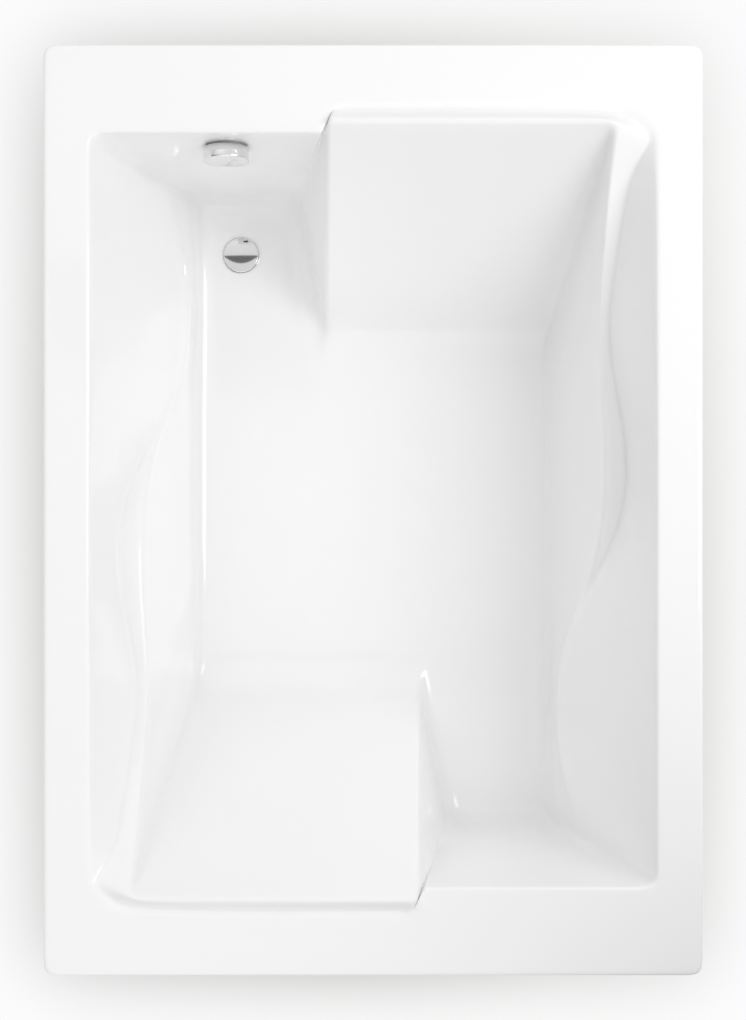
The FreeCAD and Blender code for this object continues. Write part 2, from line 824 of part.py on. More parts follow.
def plug_lever():
    """A bell crank: its nose lifts the stem, its lower arm takes the cable's wire."""
    side, half, slim = Vector(1, 0, 0), lever_width / 2, lever_thickness / 2
    pivot = Vector(-half, lever_arm, -lever_drop)
    shape = peg(lever_eye_radius, lever_width, pivot, side).fuse([
        block(-half, half, 0, lever_arm, -lever_drop - slim, -lever_drop + slim),
        peg(lever_nose_radius, lever_width, Vector(-half, 0, -lever_drop), side),
        block(-half, half, lever_arm - slim, lever_arm + slim, -lever_drop - lever_crank, -lever_drop),
        peg(lever_nose_radius, lever_width, Vector(-half, lever_arm, -lever_drop - lever_crank), side)])
    start = pivot - side * (overrun / 2)
    bore = rod(lever_pin_radius + spindle_clearance, lever_width + overrun, start, side)
    lever = shape.removeSplitter().cut(bore)
    return lever.rotate(pivot, side, lever_swing / 2)


def waste_plug():
    """A crowned cover with a boss and a long stem that stands on the lever's nose."""
    boss_under = plug_under - plug_boss_height
    crown = [(plug_radius * share, plug_under + plug_thickness + plug_crown * (1 - share ** 2))
             for share in crown_shares]
    return turned([(0, stem_low), (stem_radius, stem_low), (stem_radius, boss_under),
                   (plug_boss_radius, boss_under), (plug_boss_radius, plug_under),
                   (plug_radius, plug_under)] + crown)


def plug_seal():
    return washer(plug_seal_radius, plug_boss_radius + spindle_clearance, plug_seal_height,
                  up * (plug_under - plug_seal_height))


# Pipe and cable: straight runs joined by tangent arcs

def bent(section, points, bend_radius):
    """A section carried along straight runs and the tangent arcs between them."""
    most_share = 0.45
    pieces = []
    start = points[0]
    for before, here, after in zip(points, points[1:], points[2:]):
        first, second = here - before, after - here
        shorter = min(first.Length, second.Length)
        first.normalize()
        second.normalize()
        turn = first.getAngle(second)
        reach = min(bend_radius * math.tan(turn / 2), most_share * shorter)
        radius = reach / math.tan(turn / 2)
        run = here - first * reach - start
        pieces.append(section.extrude(run))
        section = section.translated(run)
        axis = first.cross(second).normalize()
        centre = start + run + axis.cross(first) * radius
        pieces.append(section.revolve(centre, axis, math.degrees(turn)))
        section = section.rotated(centre, axis, math.degrees(turn))
        start = here + second * reach
        print("bend radius", round(radius, 1))
    pieces.append(section.extrude(points[-1] - start))
    return pieces[0].fuse(pieces[1:])


def section_at(radius, sides, start, goal):
    """A regular section with its corners on a circle, square to the first run."""
    corners = around(2 * radius * math.cos(math.pi / sides), sides, 0, 0, 0)
    section = Part.Face(ring_wire(corners))
    section.Placement = Placement(start, Rotation(up, goal - start))
    return section


def behind_wall(x, y, z):
    return wall_frame.multVec(Vector(x, y, z))


def turn_under(start, level):
    """Where a line down the back of the wall reaches a level under the floor."""
    down = wall_frame.Rotation.multVec(Vector(0, -1, 0))
    return start + down * ((start.z - level) / -down.z)


def overflow_pipe():
    top = behind_wall(0, -elbow_radius, pipe_level)
    level = floor_top - spigot_drop
    route = [top, turn_under(top, level), Vector(-waste_lane, waste_along + cup_radius, level)]
    outer = section_at(pipe_radius, pipe_sides, route[0], route[1])
    inner = section_at(pipe_radius - pipe_wall, bore_sides, route[0], route[1])
    return bent(outer, route, pipe_bend).cut(bent(inner, route, pipe_bend))


def control_cable():
    """It runs down beside the pipe and under its bend to the socket below the pipe's."""
    level = floor_top - cable_drop
    top = behind_wall(cable_side, -elbow_radius, pipe_level)
    foot = turn_under(top, level)
    mouth = Vector(-waste_lane, waste_along + cup_radius, level)
    lead = mouth + Vector(0, 2 * cable_socket_length, 0)
    return bent(section_at(cable_radius, cable_sides, top, foot), [top, foot, lead, mouth], cable_bend)


save("acrylic_shell", acrylic_shell())
save("base_board", base_board())
for name, side in (("left", -1), ("right", 1)):
    save("long_batten_" + name, long_batten(side))
    save("cradle_rail_" + name, cradle_rail(side))
for name, side in (("near", -1), ("far", 1)):
    save("end_batten_" + name, end_batten(side))
save("board_screws", board_screws())
save("rail_nuts", rail_nuts())
for number, (x, y) in enumerate(foot_places(), 1):
    save("foot_screw_" + str(number), foot_screw(x, y))
    save("foot_pad_" + str(number), foot_pad(x, y))

for piece in (overflow_face, overflow_seal, overflow_elbow, knob_spindle, cable_crank, overflow_knob):
    save(piece.__name__, wall_placed(piece()))
for piece in (waste_flange, waste_seal, waste_body, lever_pin, plug_lever, waste_plug, plug_seal):
    save(piece.__name__, at_waste(piece()))
save("overflow_pipe", overflow_pipe())
save("control_cable", control_cable())

print("rim", tub_width, tub_length, tub_height, "lever swing", round(lever_swing, 3))
print("overflow", [round(v, 3) for v in wall_frame.Base], "lean", round(wall_lean, 4))
print("waste", round(waste_lane, 3), round(waste_along, 3), "feet", foot_places())
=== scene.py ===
import json
import math

import bmesh
import bpy
from mathutils import Matrix, Vector


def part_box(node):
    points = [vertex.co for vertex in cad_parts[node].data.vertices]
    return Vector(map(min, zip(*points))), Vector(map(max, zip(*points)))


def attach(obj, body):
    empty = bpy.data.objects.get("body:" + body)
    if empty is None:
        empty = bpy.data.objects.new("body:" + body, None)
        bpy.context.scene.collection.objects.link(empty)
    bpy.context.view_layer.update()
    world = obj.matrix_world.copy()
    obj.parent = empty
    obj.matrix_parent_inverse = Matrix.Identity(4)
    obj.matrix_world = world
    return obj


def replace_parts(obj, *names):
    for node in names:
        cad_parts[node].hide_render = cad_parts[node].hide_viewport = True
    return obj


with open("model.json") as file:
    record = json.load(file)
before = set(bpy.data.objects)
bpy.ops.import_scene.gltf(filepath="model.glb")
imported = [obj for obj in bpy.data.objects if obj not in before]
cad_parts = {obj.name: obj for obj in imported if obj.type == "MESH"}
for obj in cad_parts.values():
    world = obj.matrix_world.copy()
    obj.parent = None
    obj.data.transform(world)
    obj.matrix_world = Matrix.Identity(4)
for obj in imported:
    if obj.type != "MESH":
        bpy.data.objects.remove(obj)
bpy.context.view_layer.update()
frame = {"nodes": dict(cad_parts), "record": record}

# Sizes of the bath, in metres: x runs across, y along, z up from the ground

RIM_WIDTH, RIM_LENGTH, RIM_TOP = 1.080, 1.524, 0.580
BASIN_DEPTH = 0.450
SHEET = 0.005
RIM_DROP = 0.040
RIM_CORNER = 0.018
RIM_ROUND = 0.006
OPENING = (0.464, 0.617)
FOOT_LEAN = 0.039
ARM_FLOOR = 0.326
DIVIDER, DIVIDER_BACK, DIVIDER_FOOT, DIVIDER_STEP = 0.072, 0.086, 0.140, 0.012
CREST, CREST_END, CREST_RISE, LIP_WIDTH = 0.636, 0.393, 0.019, 0.016
BACK_SLOPE = math.radians(33.0)
FLOOR_TOP = RIM_TOP - BASIN_DEPTH

# How far each bend reaches on both sides of its edge

DECK_SOFT, WAVE_SOFT, RIDGE_SOFT, EDGE_SOFT = 0.010, 0.011, 0.012, 0.012
FOOT_SOFT, BACK_SOFT, ARM_SOFT, DIVIDER_SOFT = 0.060, 0.095, 0.042, 0.042
SHOULDER_FLOOR_SOFT = 0.052
CORNER_SOFT, CORNER_FLOOR_SOFT = 0.046, 0.076
INNER_SOFT, INNER_FLOOR_SOFT = 0.014, 0.056

# The most that a bend takes of a short side, at its outer and inner points, and between two rings

FAR_SHARE, NEAR_SHARE, WALL_SHARE, FLOOR_SHARE = 0.40, 0.20, 0.30, 0.45

# How far the control points of an arc reach, in radii

ARC_REACH = 1.75

# Points of half a ring along the rim's side and along its end

ALONG_SIDE, ALONG_END = slice(0, 10), slice(15, 25)

# Groove behind the crest: its distance in lip widths, its depth, and the share of it at each point

GROOVE_AT, GROOVE_DEPTH, GROOVE_SHARES = 1.15, 0.009, {14: 1.0, 15: 1.0, 16: 0.5}

# Deck points drawn together at the divider's corner, and their steps from it

GATHER_STEP, GATHERED, GATHER_FROM, GATHER_CORNER = 0.0015, {19: 3, 20: 2, 21: 1}, 17, 22

# Armrest, from the foot to the shoulder: y, then out and down of the trough line and of the ridge, as
# shares of the opening's half length and half width and of the basin's depth

ARMREST_SHARES = (
    (-0.762, 0.760, 0.667, 0.731, 0.744),
    (-0.551, 0.735, 0.756, 0.711, 0.818),
    (-0.373, 0.763, 0.678, 0.741, 0.733),
    (-0.211, 0.836, 0.560, 0.819, 0.582),
    (-0.049, 0.935, 0.467, 0.862, 0.440),
    (0.122, 0.961, 0.422, 0.866, 0.391),
    (0.292, 0.920, 0.400, 0.853, 0.373),
    (0.486, 0.858, 0.356, 0.828, 0.333),
    (0.681, 0.888, 0.267, 0.836, 0.249),
    (0.843, 0.905, 0.144, 0.841, 0.129),
)
FLOOR_FOOT_SHARES = (-0.813, -0.640, -0.470, -0.310, -0.156, -0.017)
FLOOR_BACK_SHARES = (0.181, 0.361, 0.512, 0.624)
SHOULDER_DECK_SHARES = ((1.0, 0.908, 0.0), (1.0, 0.960, 0.0), (1.0, 1.008, 0.0), (0.940, 1.057, 0.0),
                        (0.862, 1.083, 0.0))
SHOULDER_TROUGH_SHARES = ((0.914, 0.901, 0.089), (0.948, 0.950, 0.040), (0.987, 0.985, 0.004),
                          (0.914, 1.037, 0.008), (0.853, 1.061, 0.0))
SHOULDER_RIDGE_SHARES = ((0.843, 0.927, 0.044), (0.845, 0.982, -0.009))
WALL_TROUGH_SHARE, WALL_RIDGE_SHARE = 0.50, 0.62

# Waste and overflow

WASTE_LANE, WASTE_SETBACK, OVERFLOW_DOWN = 0.246, 0.103, 0.080
KNOB_RADIUS, KNOB_THICKNESS, KNOB_GAP, KNOB_WALL, KNOB_BEVEL = 0.0385, 0.022, 0.005, 0.003, 0.003
SLOT_WIDTH, SLOT_HEIGHT, SLOT_DEPTH = 0.024, 0.009, 0.010
CAP_STEPS, BEVEL_STEPS = 128, 6
FLANGE_RADIUS, FLANGE_RIM, FLANGE_THICKNESS, FLANGE_RECESS = 0.035, 0.002, 0.0025, 0.0008
FLANGE_ROUND, FLANGE_EASE = 0.6 * FLANGE_RIM, 0.3 * FLANGE_RIM
TAIL_RADIUS, TAIL_BORE, TAIL_LENGTH, GUIDE = 0.0255, 0.022, 0.026, 0.007
PLUG_RADIUS, PLUG_THICKNESS, PLUG_CROWN, PLUG_UNDER = 0.032, 0.0035, 0.0012, 0.0023
PLUG_BOSS, PLUG_BOSS_HEIGHT, STEM = 0.010, 0.006, 0.004
CROWN_SHARES = (0.97, 0.85, 0.7, 0.5, 0.25, 0)
PLUG_SEAL_RADIUS, PLUG_SEAL_THICKNESS, PLUG_SEAL_FIT = 0.028, 0.0012, 0.00005
HOLE, FACE_RADIUS, FACE_THICKNESS, HUB, HUB_BORE, HUB_PROUD = 0.026, 0.031, 0.003, 0.0245, 0.020, 0.0006
BEARING, BEARING_LENGTH, SPINDLE_BORE = 0.0075, 0.006, 0.00405
WEB, WEBS, WEB_ROOT, WEB_SETBACK = 0.005, 3, 0.001, 0.0005
SEAL_RADIUS, SEAL_THICKNESS, WASTE_SEAL_RADIUS, WASTE_HOLE = 0.035, 0.003, 0.038, 0.027
ELBOW, ELBOW_FLANGE, ELBOW_DEPTH, ELBOW_WALL = 0.030, 0.004, 0.034, 0.003
ELBOW_ROUND, ELBOW_NECK = 0.005, 0.0015
CUP, CUP_WALL, CUP_RIM, CUP_DEPTH, CUP_ROUND = 0.031, 0.0035, 0.004, 0.064, 0.004
RIB, RIBS, RIB_SETBACK, ELBOW_RIB_LENGTH, CUP_RIB_LENGTH = 0.0018, 12, 0.0012, 0.010, 0.012
OUTLET, OUTLET_WALL, OUTLET_LENGTH = 0.020, 0.003, 0.020
OUTLET_RINGS, RING_START, RING_PITCH, RING_DEPTH = 6, 0.0015, 0.0023, 0.0012
RING_HEIGHTS = (0, 0.0008, 0.0013, 0.0021)
PIPE, PIPE_WALL, PIPE_BEND, PIPE_FIT = 0.016, 0.002, 0.055, 0.0001
SPIGOT, SPIGOT_LENGTH, SPIGOT_DROP, COLLAR_LENGTH, COLLAR_STEP = 0.0185, 0.022, 0.035, 0.006, 0.0008
CABLE, CABLE_BEND, CABLE_SIDE, CABLE_DROP = 0.003, 0.032, 0.0245, 0.060
SOCKET, SOCKET_LENGTH, SOCKET_COLLAR, SOCKET_WAIST = 0.005, 0.014, 0.002, 0.0007
WAIST_FROM, WAIST_TO, WAIST_EASE = 0.72, 0.76, 0.0005
FERRULE_LENGTH, FERRULE_TAPER, FERRULE_WALL = 0.008, 0.002, 0.0004

# Roundings of small edges, play between fitted pieces, and how deep a rib is rooted

ROUND_LARGE, ROUND_MIDDLE, ROUND_SMALL, ROUND_LEAST = 0.0012, 0.0008, 0.0006, 0.0005
PLAY, ROOTED = 0.0003, 0.0005

# Steps in a rounded edge, and round the turned pieces

ARC_STEPS, COVER_STEPS, CUP_STEPS, PAD_STEPS, SPIGOT_STEPS, BEARING_STEPS = 4, 96, 72, 64, 56, 40
SOCKET_STEPS, HEAD_STEPS, FERRULE_STEPS, SHANK_STEPS = 32, 32, 28, 20

# Angles past which an edge stays sharp, in degrees: rubber and pipe, chrome and cable, mouldings, cut metal

SHARP_SOFT, SHARP_SMOOTH, SHARP_MOULDED, SHARP_CUT = 50, 40, 35, 30

# How near points are merged, and how near they lie on a cut

MERGE_WITHIN, CUT_WITHIN = 1e-6, 1e-7

# Levels of the moulding's subdivision surface

SMOOTH_LEVELS = 2

# Pipe and cable: points round, steps in a bend, and the most that a bend takes of a run

PIPE_SIDES, PIPE_STEPS, CABLE_SIDES, CABLE_STEPS, BEND_SHARE = 48, 14, 20, 18, 0.45

# Feet, rails and screws

THREAD, PITCH, THREAD_DEPTH, FLANK, THREAD_STEPS, SPARE_TURNS = 0.006, 0.00175, 0.55, 0.42, 20, 2
NUT_ACROSS, NUT_HEIGHT, NUT_CHAMFER, NUT_BITE = 0.019, 0.008, 0.0012, 0.0002
HEX_TOP, HEX_STEPS = 0.97, 48
PAD, PAD_TOP, PAD_HEIGHT, PAD_SOLE, PAD_EASE, PAD_FIT = 0.026, 0.013, 0.016, 0.004, 0.001, 0.0001
PAD_WAIST, PAD_WAIST_SHARE = 0.003, 0.55
PAD_RIB, PAD_RIBS, PAD_RIB_START, PAD_RIB_END = 0.0022, 8, 0.75, 0.0015
SCREW_HEAD, SCREW_HEAD_HEIGHT, SCREW_HEAD_ACROSS = 0.0045, 0.0025, 0.0072
SCREW_WASHER, SCREW_CHAMFER, WASHER_EDGE, SHANK, SHANK_TIP = 0.0007, 0.0004, 0.0003, 0.0022, 0.003

# How nuts and screws are left turned: degrees per metre across and up, radians per screw

NUT_TURN_ACROSS, NUT_TURN_UP, SCREW_TURN = 300, 900, 0.7


def placed_object(name, data):
    """An object in the scene; a bmesh is made into a mesh first."""
    if isinstance(data, bmesh.types.BMesh):
        mesh, data = data, bpy.data.meshes.new(name)
        mesh.to_mesh(data)
        mesh.free()
    item = bpy.data.objects.new(name, data)
    bpy.context.scene.collection.objects.link(item)
    return item


# Camera

CAMERA_ABOVE_RIM = 3.177
PICTURE_ROWS, ROW_AT_RIM = 1020, 0.001635
SENSOR = 36.0


def place_camera():
    camera = bpy.data.cameras.new("above")
    camera.sensor_width = SENSOR
    camera.lens = SENSOR * CAMERA_ABOVE_RIM / (PICTURE_ROWS * ROW_AT_RIM)
    holder = placed_object("above", camera)
    holder.location = (0, 0, RIM_TOP + CAMERA_ABOVE_RIM)
    bpy.context.scene.camera = holder


place_camera()


# Finishes

def worked(operation, swapped=False):
    """A method that adds the Math node for one operation on a signal."""
    def work(self, other=0.0):
        first, second = (other, self) if swapped else (self, other)
        return self.finish.add("ShaderNodeMath", {0: first, 1: second}, operation=operation)
    return work


class Signal:
    """A value in a finish; arithmetic on it adds the nodes that work it out."""

    def __init__(self, finish, socket):
        self.finish, self.socket = finish, socket

    __add__ = __radd__ = worked("ADD")
    __mul__ = __rmul__ = worked("MULTIPLY")
    __sub__, __rsub__ = worked("SUBTRACT"), worked("SUBTRACT", swapped=True)
    __truediv__, __rtruediv__ = worked("DIVIDE"), worked("DIVIDE", swapped=True)
    __pow__, __rpow__ = worked("POWER"), worked("POWER", swapped=True)
    __abs__, at_least, at_most = worked("ABSOLUTE"), worked("MAXIMUM"), worked("MINIMUM")


class Finish:
    """A material, or the world, and the one way to add a node to it."""

    def __init__(self, name, world=False):
        self.material = (bpy.data.worlds if world else bpy.data.materials).new(name)
        self.material.use_nodes = True
        self.tree = self.material.node_tree
        self.tree.nodes.clear()

    def add(self, kind, values=None, output=0, **settings):
        node = self.tree.nodes.new(kind)
        for name, value in settings.items():
            if name == "stops":
                ramp = node.color_ramp.elements
                while len(ramp) < len(value):
                    ramp.new(0.5)
                for stop, (place, shade) in zip(ramp, value):
                    stop.position, stop.color = place, (shade, shade, shade, 1)
            else:
                setattr(node, name, value)
        for name, value in (values or {}).items():
            if isinstance(value, Signal):
                self.tree.links.new(value.socket, node.inputs[name])
            else:
                node.inputs[name].default_value = value
        return Signal(self, node.outputs[output]) if node.outputs else None

    def place(self, scale=(1, 1, 1)):
        """Object coordinates, stretched."""
        here = self.add("ShaderNodeTexCoord", output="Object")
        return self.add("ShaderNodeMapping", {"Vector": here, "Scale": scale})

    def noise(self, scale, detail=2.0, stretch=(1, 1, 1), roughness=0.5):
        return self.add("ShaderNodeTexNoise", {"Vector": self.place(stretch), "Scale": scale,
                                               "Detail": detail, "Roughness": roughness})

    def ramp(self, value, *stops):
        return self.add("ShaderNodeValToRGB", {0: value}, stops=stops)

    def mixed(self, factor, first, second):
        """Between two colours or two coloured signals."""
        first, second = (colour if isinstance(colour, Signal) else (*colour, 1) for colour in (first, second))
        return self.add("ShaderNodeMix", {0: factor, 6: first, 7: second}, 2, data_type="RGBA")

    def bump(self, height, distance):
        return self.add("ShaderNodeBump", {"Height": height, "Distance": distance})

    def finished(self, **values):
        """A plain shader on the surface, with its sockets given as words joined by underscores."""
        sockets = {name.replace("_", " "): value for name, value in values.items()}
        shader = self.add("ShaderNodeBsdfPrincipled", sockets)
        self.add("ShaderNodeOutputMaterial", {"Surface": shader})
        return self.material


def acrylic():
    """Polished white sheet: faint waves left by the vacuum mould, and a few dull patches."""
    finish = Finish("polished_white_acrylic")
    cloud = finish.noise(3.0, 3.0)
    waves = finish.noise(24.0, 1.0)
    dull = finish.noise(60.0, 4.0)
    return finish.finished(Base_Color=finish.mixed(cloud, (0.94, 0.94, 0.94), (0.96, 0.96, 0.96)),
                           Roughness=0.045 + dull * 0.035, IOR=1.49,
                           Normal=finish.bump(waves, 0.00012))


def glass_fibre():
    """The back of the sheet: chopped strands that lie every way in resin."""
    finish = Finish("glass_fibre_backing")
    ways = ((1.0, 9.0, 3.0), (9.0, 1.0, 3.0), (6.0, 6.0, 1.0))
    strands = sum(finish.ramp(finish.noise(70.0, 3.0, way, 0.6), (0.50, 0.0), (0.64, 1.0)) * (1 / len(ways))
                  for way in ways)
    resin = finish.noise(9.0, 3.0)
    tone = finish.mixed(resin, (0.44, 0.43, 0.37), (0.54, 0.53, 0.47))
    return finish.finished(Base_Color=finish.mixed(strands, tone, (0.80, 0.79, 0.73)),
                           Roughness=0.32 + strands * 0.35, Normal=finish.bump(strands, 0.0015))


def chrome():
    finish = Finish("bright_chrome")
    smear = finish.noise(35.0, 3.0)
    return finish.finished(Base_Color=finish.mixed(smear, (0.80, 0.80, 0.81), (0.86, 0.86, 0.87)),
                           Metallic=1.0, Roughness=0.03 + smear * 0.04)


def metal(name, dark, light, roughness, grain, stretch=(1, 1, 1), depth=0.00005):
    finish = Finish(name)
    patches = finish.noise(grain, 4.0, stretch)
    return finish.finished(Base_Color=finish.mixed(patches, dark, light), Metallic=1.0,
                           Roughness=roughness + patches * 0.18, Normal=finish.bump(patches, depth))


def galvanised():
    """Zinc spangle on folded steel."""
    finish = Finish("galvanised_steel")
    spangle = finish.add("ShaderNodeTexVoronoi", {"Vector": finish.place(), "Scale": 190.0}, "Color")
    tone = finish.add("ShaderNodeRGBToBW", {0: spangle})
    return finish.finished(Base_Color=finish.mixed(tone, (0.48, 0.49, 0.51), (0.61, 0.62, 0.63)),
                           Metallic=1.0, Roughness=0.32 + tone * 0.18)


def moulded(name, dark, light, roughness, depth=0.00008):
    """Fine-grained plastic or rubber."""
    finish = Finish(name)
    grain = finish.noise(900.0, 3.0)
    cloud = finish.noise(30.0, 3.0)
    return finish.finished(Base_Color=finish.mixed(cloud, dark, light), Roughness=roughness + grain * 0.15,
                           Normal=finish.bump(grain, depth))


def pine(name, stretch):
    """Long streaks over slow bands, drawn out along the batten."""
    finish = Finish(name)
    streaks = finish.noise(220.0, 5.0, stretch, 0.6)
    grain = streaks * 0.55 + finish.noise(26.0, 2.0, stretch) * 0.45
    tone = finish.mixed(finish.ramp(grain, (0.30, 0.0), (0.72, 1.0)), (0.50, 0.33, 0.16), (0.74, 0.56, 0.34))
    return finish.finished(Base_Color=tone, Roughness=0.55 + streaks * 0.25,
                           Normal=finish.bump(grain, 0.0004))


def plywood():
    """Birch faces with the plies showing on the edges."""
    finish = Finish("birch_plywood")
    streaks = finish.noise(180.0, 5.0, (1.0, 0.07, 1.0), 0.6)
    plies = finish.add("ShaderNodeTexWave", {"Vector": finish.place(), "Scale": 105.0, "Distortion": 0.12,
                                             "Detail": 1.0}, bands_direction="Z")
    face = finish.mixed(streaks, (0.50, 0.36, 0.21), (0.67, 0.51, 0.33))
    edge = finish.mixed(plies, (0.36, 0.24, 0.13), (0.64, 0.48, 0.30))
    normal = finish.add("ShaderNodeNewGeometry", output="Normal")
    level = abs(finish.add("ShaderNodeSeparateXYZ", {0: normal}, "Z"))
    return finish.finished(Base_Color=finish.mixed(level, edge, face), Roughness=0.55 + streaks * 0.2,
                           Normal=finish.bump(streaks, 0.0003))


FINISHES = {
    "white_acrylic": acrylic(),
    "chrome": chrome(),
    "brass": metal("turned_brass", (0.58, 0.40, 0.14), (0.72, 0.52, 0.22), 0.16, 140.0, (1, 1, 6)),
    "galvanised_steel": galvanised(),
    "zinc_steel": metal("zinc_plated_steel", (0.50, 0.50, 0.47), (0.66, 0.66, 0.63), 0.20, 220.0),
    "grey_plastic": moulded("grey_moulding", (0.36, 0.37, 0.38), (0.42, 0.43, 0.44), 0.34),
    "black_plastic": moulded("black_moulding", (0.022, 0.022, 0.023), (0.040, 0.040, 0.042), 0.42),
    "black_rubber": moulded("black_rubber", (0.018, 0.018, 0.018), (0.032, 0.032, 0.032), 0.60, 0.00015),
    "black_sheath": moulded("black_cable_sheath", (0.020, 0.020, 0.022), (0.034, 0.034, 0.036), 0.30),
    "plywood": plywood(),
    "pine": pine("pine_along", (1.0, 0.06, 1.0)),
}
PINE_ACROSS = pine("pine_across", (0.06, 1.0, 1.0))
BACKING = glass_fibre()


def slot_of(node):
    """The slot that the record gives a node."""
    return next(entry["material_slot"] for entry in frame["record"]["subparts"] if entry["node"] == node)


def dress_frame():
    """Every carried-over piece takes its slot's finish."""
    for name, piece in frame["nodes"].items():
        finish = PINE_ACROSS if name.startswith("end_batten") else FINISHES[slot_of(name)]
        piece.data.materials.clear()
        piece.data.materials.append(finish)


dress_frame()


def settled(name, mesh, node, sharp, body="root", *finishes):
    """A finished bmesh as a piece that rides on a body, with the slot and finish of a node."""
    slot = slot_of(node)
    piece = placed_object(name, mesh)
    piece.data.polygons.foreach_set("use_smooth", [True] * len(piece.data.polygons))
    if sharp:
        piece.data.set_sharp_from_angle(angle=math.radians(sharp))
    for finish in finishes or (FINISHES[slot],):
        piece.data.materials.append(finish)
    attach(piece, body)
    return piece


# The moulding: control rings that run round both lanes, from the bottom of the rim's lip to the floor

def spot(x, y, down):
    return Vector((x, y, RIM_TOP - down))


def half_turn(point):
    return Vector((-point.x, -point.y, point.z))


def toward(start, goal, distance, most_share):
    leg = goal - start
    if leg.length == 0:
        return start.copy()
    return start + leg * min(distance / leg.length, most_share)


def bend(before, here, after, softness):
    """Five control points that round one corner of a ring."""
    return [toward(here, before, 2 * softness, FAR_SHARE), toward(here, before, softness, NEAR_SHARE), here,
            toward(here, after, softness, NEAR_SHARE), toward(here, after, 2 * softness, FAR_SHARE)]


def whole_ring(arm, shoulder, divider_back, divider_lead, divider_foot, outer_foot, softnesses):
    """One lane's control points, then the same for the other lane, turned by half a turn."""
    edge, inner, outer = softnesses
    half = arm + shoulder + bend(shoulder[-1], divider_back, divider_lead, edge)
    before_foot = divider_back
    if divider_lead != divider_foot:
        half[-1] = before_foot = divider_lead
    half = half + bend(before_foot, divider_foot, outer_foot, inner)
    half = half + bend(divider_foot, outer_foot, half_turn(arm[0]), outer)
    return half + [half_turn(p) for p in half]


def placed(shares):
    return [spot(out * OPENING[0], along * OPENING[1], down * BASIN_DEPTH) for out, along, down in shares]


FOOT_FLOOR = OPENING[1] - FOOT_LEAN
BACK_FLOOR = CREST - (BASIN_DEPTH + CREST_RISE) * math.tan(BACK_SLOPE)
DECK_FOOT_INNER = spot(-DIVIDER - DIVIDER_STEP, OPENING[1], 0)
DECK_FOOT_OUTER = spot(-OPENING[0], OPENING[1], 0)
FLOOR_FOOT_INNER = spot(-DIVIDER_FOOT, FOOT_FLOOR, BASIN_DEPTH)
FLOOR_FOOT_OUTER = spot(-ARM_FLOOR, FOOT_FLOOR, BASIN_DEPTH)


def down_the_foot_wall(lead, share):
    """Where a ring passes the foot wall: under the divider's corner, and down the wall's two corners."""
    return (DECK_FOOT_INNER - Vector((0, 0, lead)), DECK_FOOT_INNER.lerp(FLOOR_FOOT_INNER, share),
            DECK_FOOT_OUTER.lerp(FLOOR_FOOT_OUTER, share))


def deck_ring():
    arm = placed([(1.0, row[0], 0) for row in ARMREST_SHARES])
    divider_back = spot(-DIVIDER + DIVIDER_STEP, CREST + 2 * LIP_WIDTH, 0)
    return whole_ring(arm, placed(SHOULDER_DECK_SHARES), divider_back, DECK_FOOT_INNER, DECK_FOOT_INNER,
                      DECK_FOOT_OUTER, (EDGE_SOFT, INNER_SOFT, CORNER_SOFT))


def gathered(deck):
    """The deck's edge with its points drawn together at the corner between divider and foot wall."""
    ring = [p.copy() for p in deck]
    for first in (0, len(ring) // 2):
        back, corner = ring[first + GATHER_FROM], ring[first + GATHER_CORNER]
        for index, steps in GATHERED.items():
            ring[first + index] = toward(corner, back, steps * GATHER_STEP, 1.0)
    return ring


def trough_ring():
    """The line that the armrest falls to from the deck, and the groove behind the crest."""
    arm = placed([(out, along, down) for along, out, down, _, _ in ARMREST_SHARES])
    divider_back = spot(-DIVIDER + DIVIDER_STEP / 2, CREST + GROOVE_AT * LIP_WIDTH, 0)
    ring = whole_ring(arm, placed(SHOULDER_TROUGH_SHARES), divider_back,
                      *down_the_foot_wall(EDGE_SOFT, WALL_TROUGH_SHARE),
                      (EDGE_SOFT, (INNER_SOFT + INNER_FLOOR_SOFT) / 2, (CORNER_SOFT + CORNER_FLOOR_SOFT) / 2))
    for first in (0, len(ring) // 2):
        for index, share in GROOVE_SHARES.items():
            ring[first + index].z -= GROOVE_DEPTH * share
    return ring


def ridge_ring():
    """The armrest's ridge and the crest of the backrest."""
    arm = placed([(out, along, down) for along, _, _, out, down in ARMREST_SHARES])
    crest = [spot(CREST_END - step * 2 * EDGE_SOFT, CREST, -CREST_RISE) for step in range(3)]
    return whole_ring(arm, placed(SHOULDER_RIDGE_SHARES) + crest, spot(-DIVIDER, CREST, -CREST_RISE),
                      *down_the_foot_wall(3 * EDGE_SOFT, WALL_RIDGE_SHARE),
                      (EDGE_SOFT, INNER_FLOOR_SOFT, CORNER_FLOOR_SOFT))


def floor_ring(steps):
    """The floor's outline, moved inwards by whole steps of each wall's softness."""
    reach, back = ARM_FLOOR - steps * ARM_SOFT, BACK_FLOOR - steps * BACK_SOFT
    foot, spread = FOOT_FLOOR - steps * FOOT_SOFT, steps * DIVIDER_SOFT
    arm = [spot(reach, share * foot, BASIN_DEPTH) for share in FLOOR_FOOT_SHARES]
    arm += [spot(reach, share * back, BASIN_DEPTH) for share in FLOOR_BACK_SHARES]
    divider_back = spot(-DIVIDER_BACK - spread, back, BASIN_DEPTH)
    divider_foot = spot(-DIVIDER_FOOT - spread, foot, BASIN_DEPTH)
    outer_foot = spot(-reach, foot, BASIN_DEPTH)
    shoulder = bend(arm[-1], spot(reach, back, BASIN_DEPTH), divider_back, SHOULDER_FLOOR_SOFT)
    return whole_ring(arm, shoulder, divider_back, divider_foot, divider_foot, outer_foot,
                      (EDGE_SOFT, INNER_FLOOR_SOFT, CORNER_FLOOR_SOFT))


# Softness of the bend into the floor at each point of half a ring

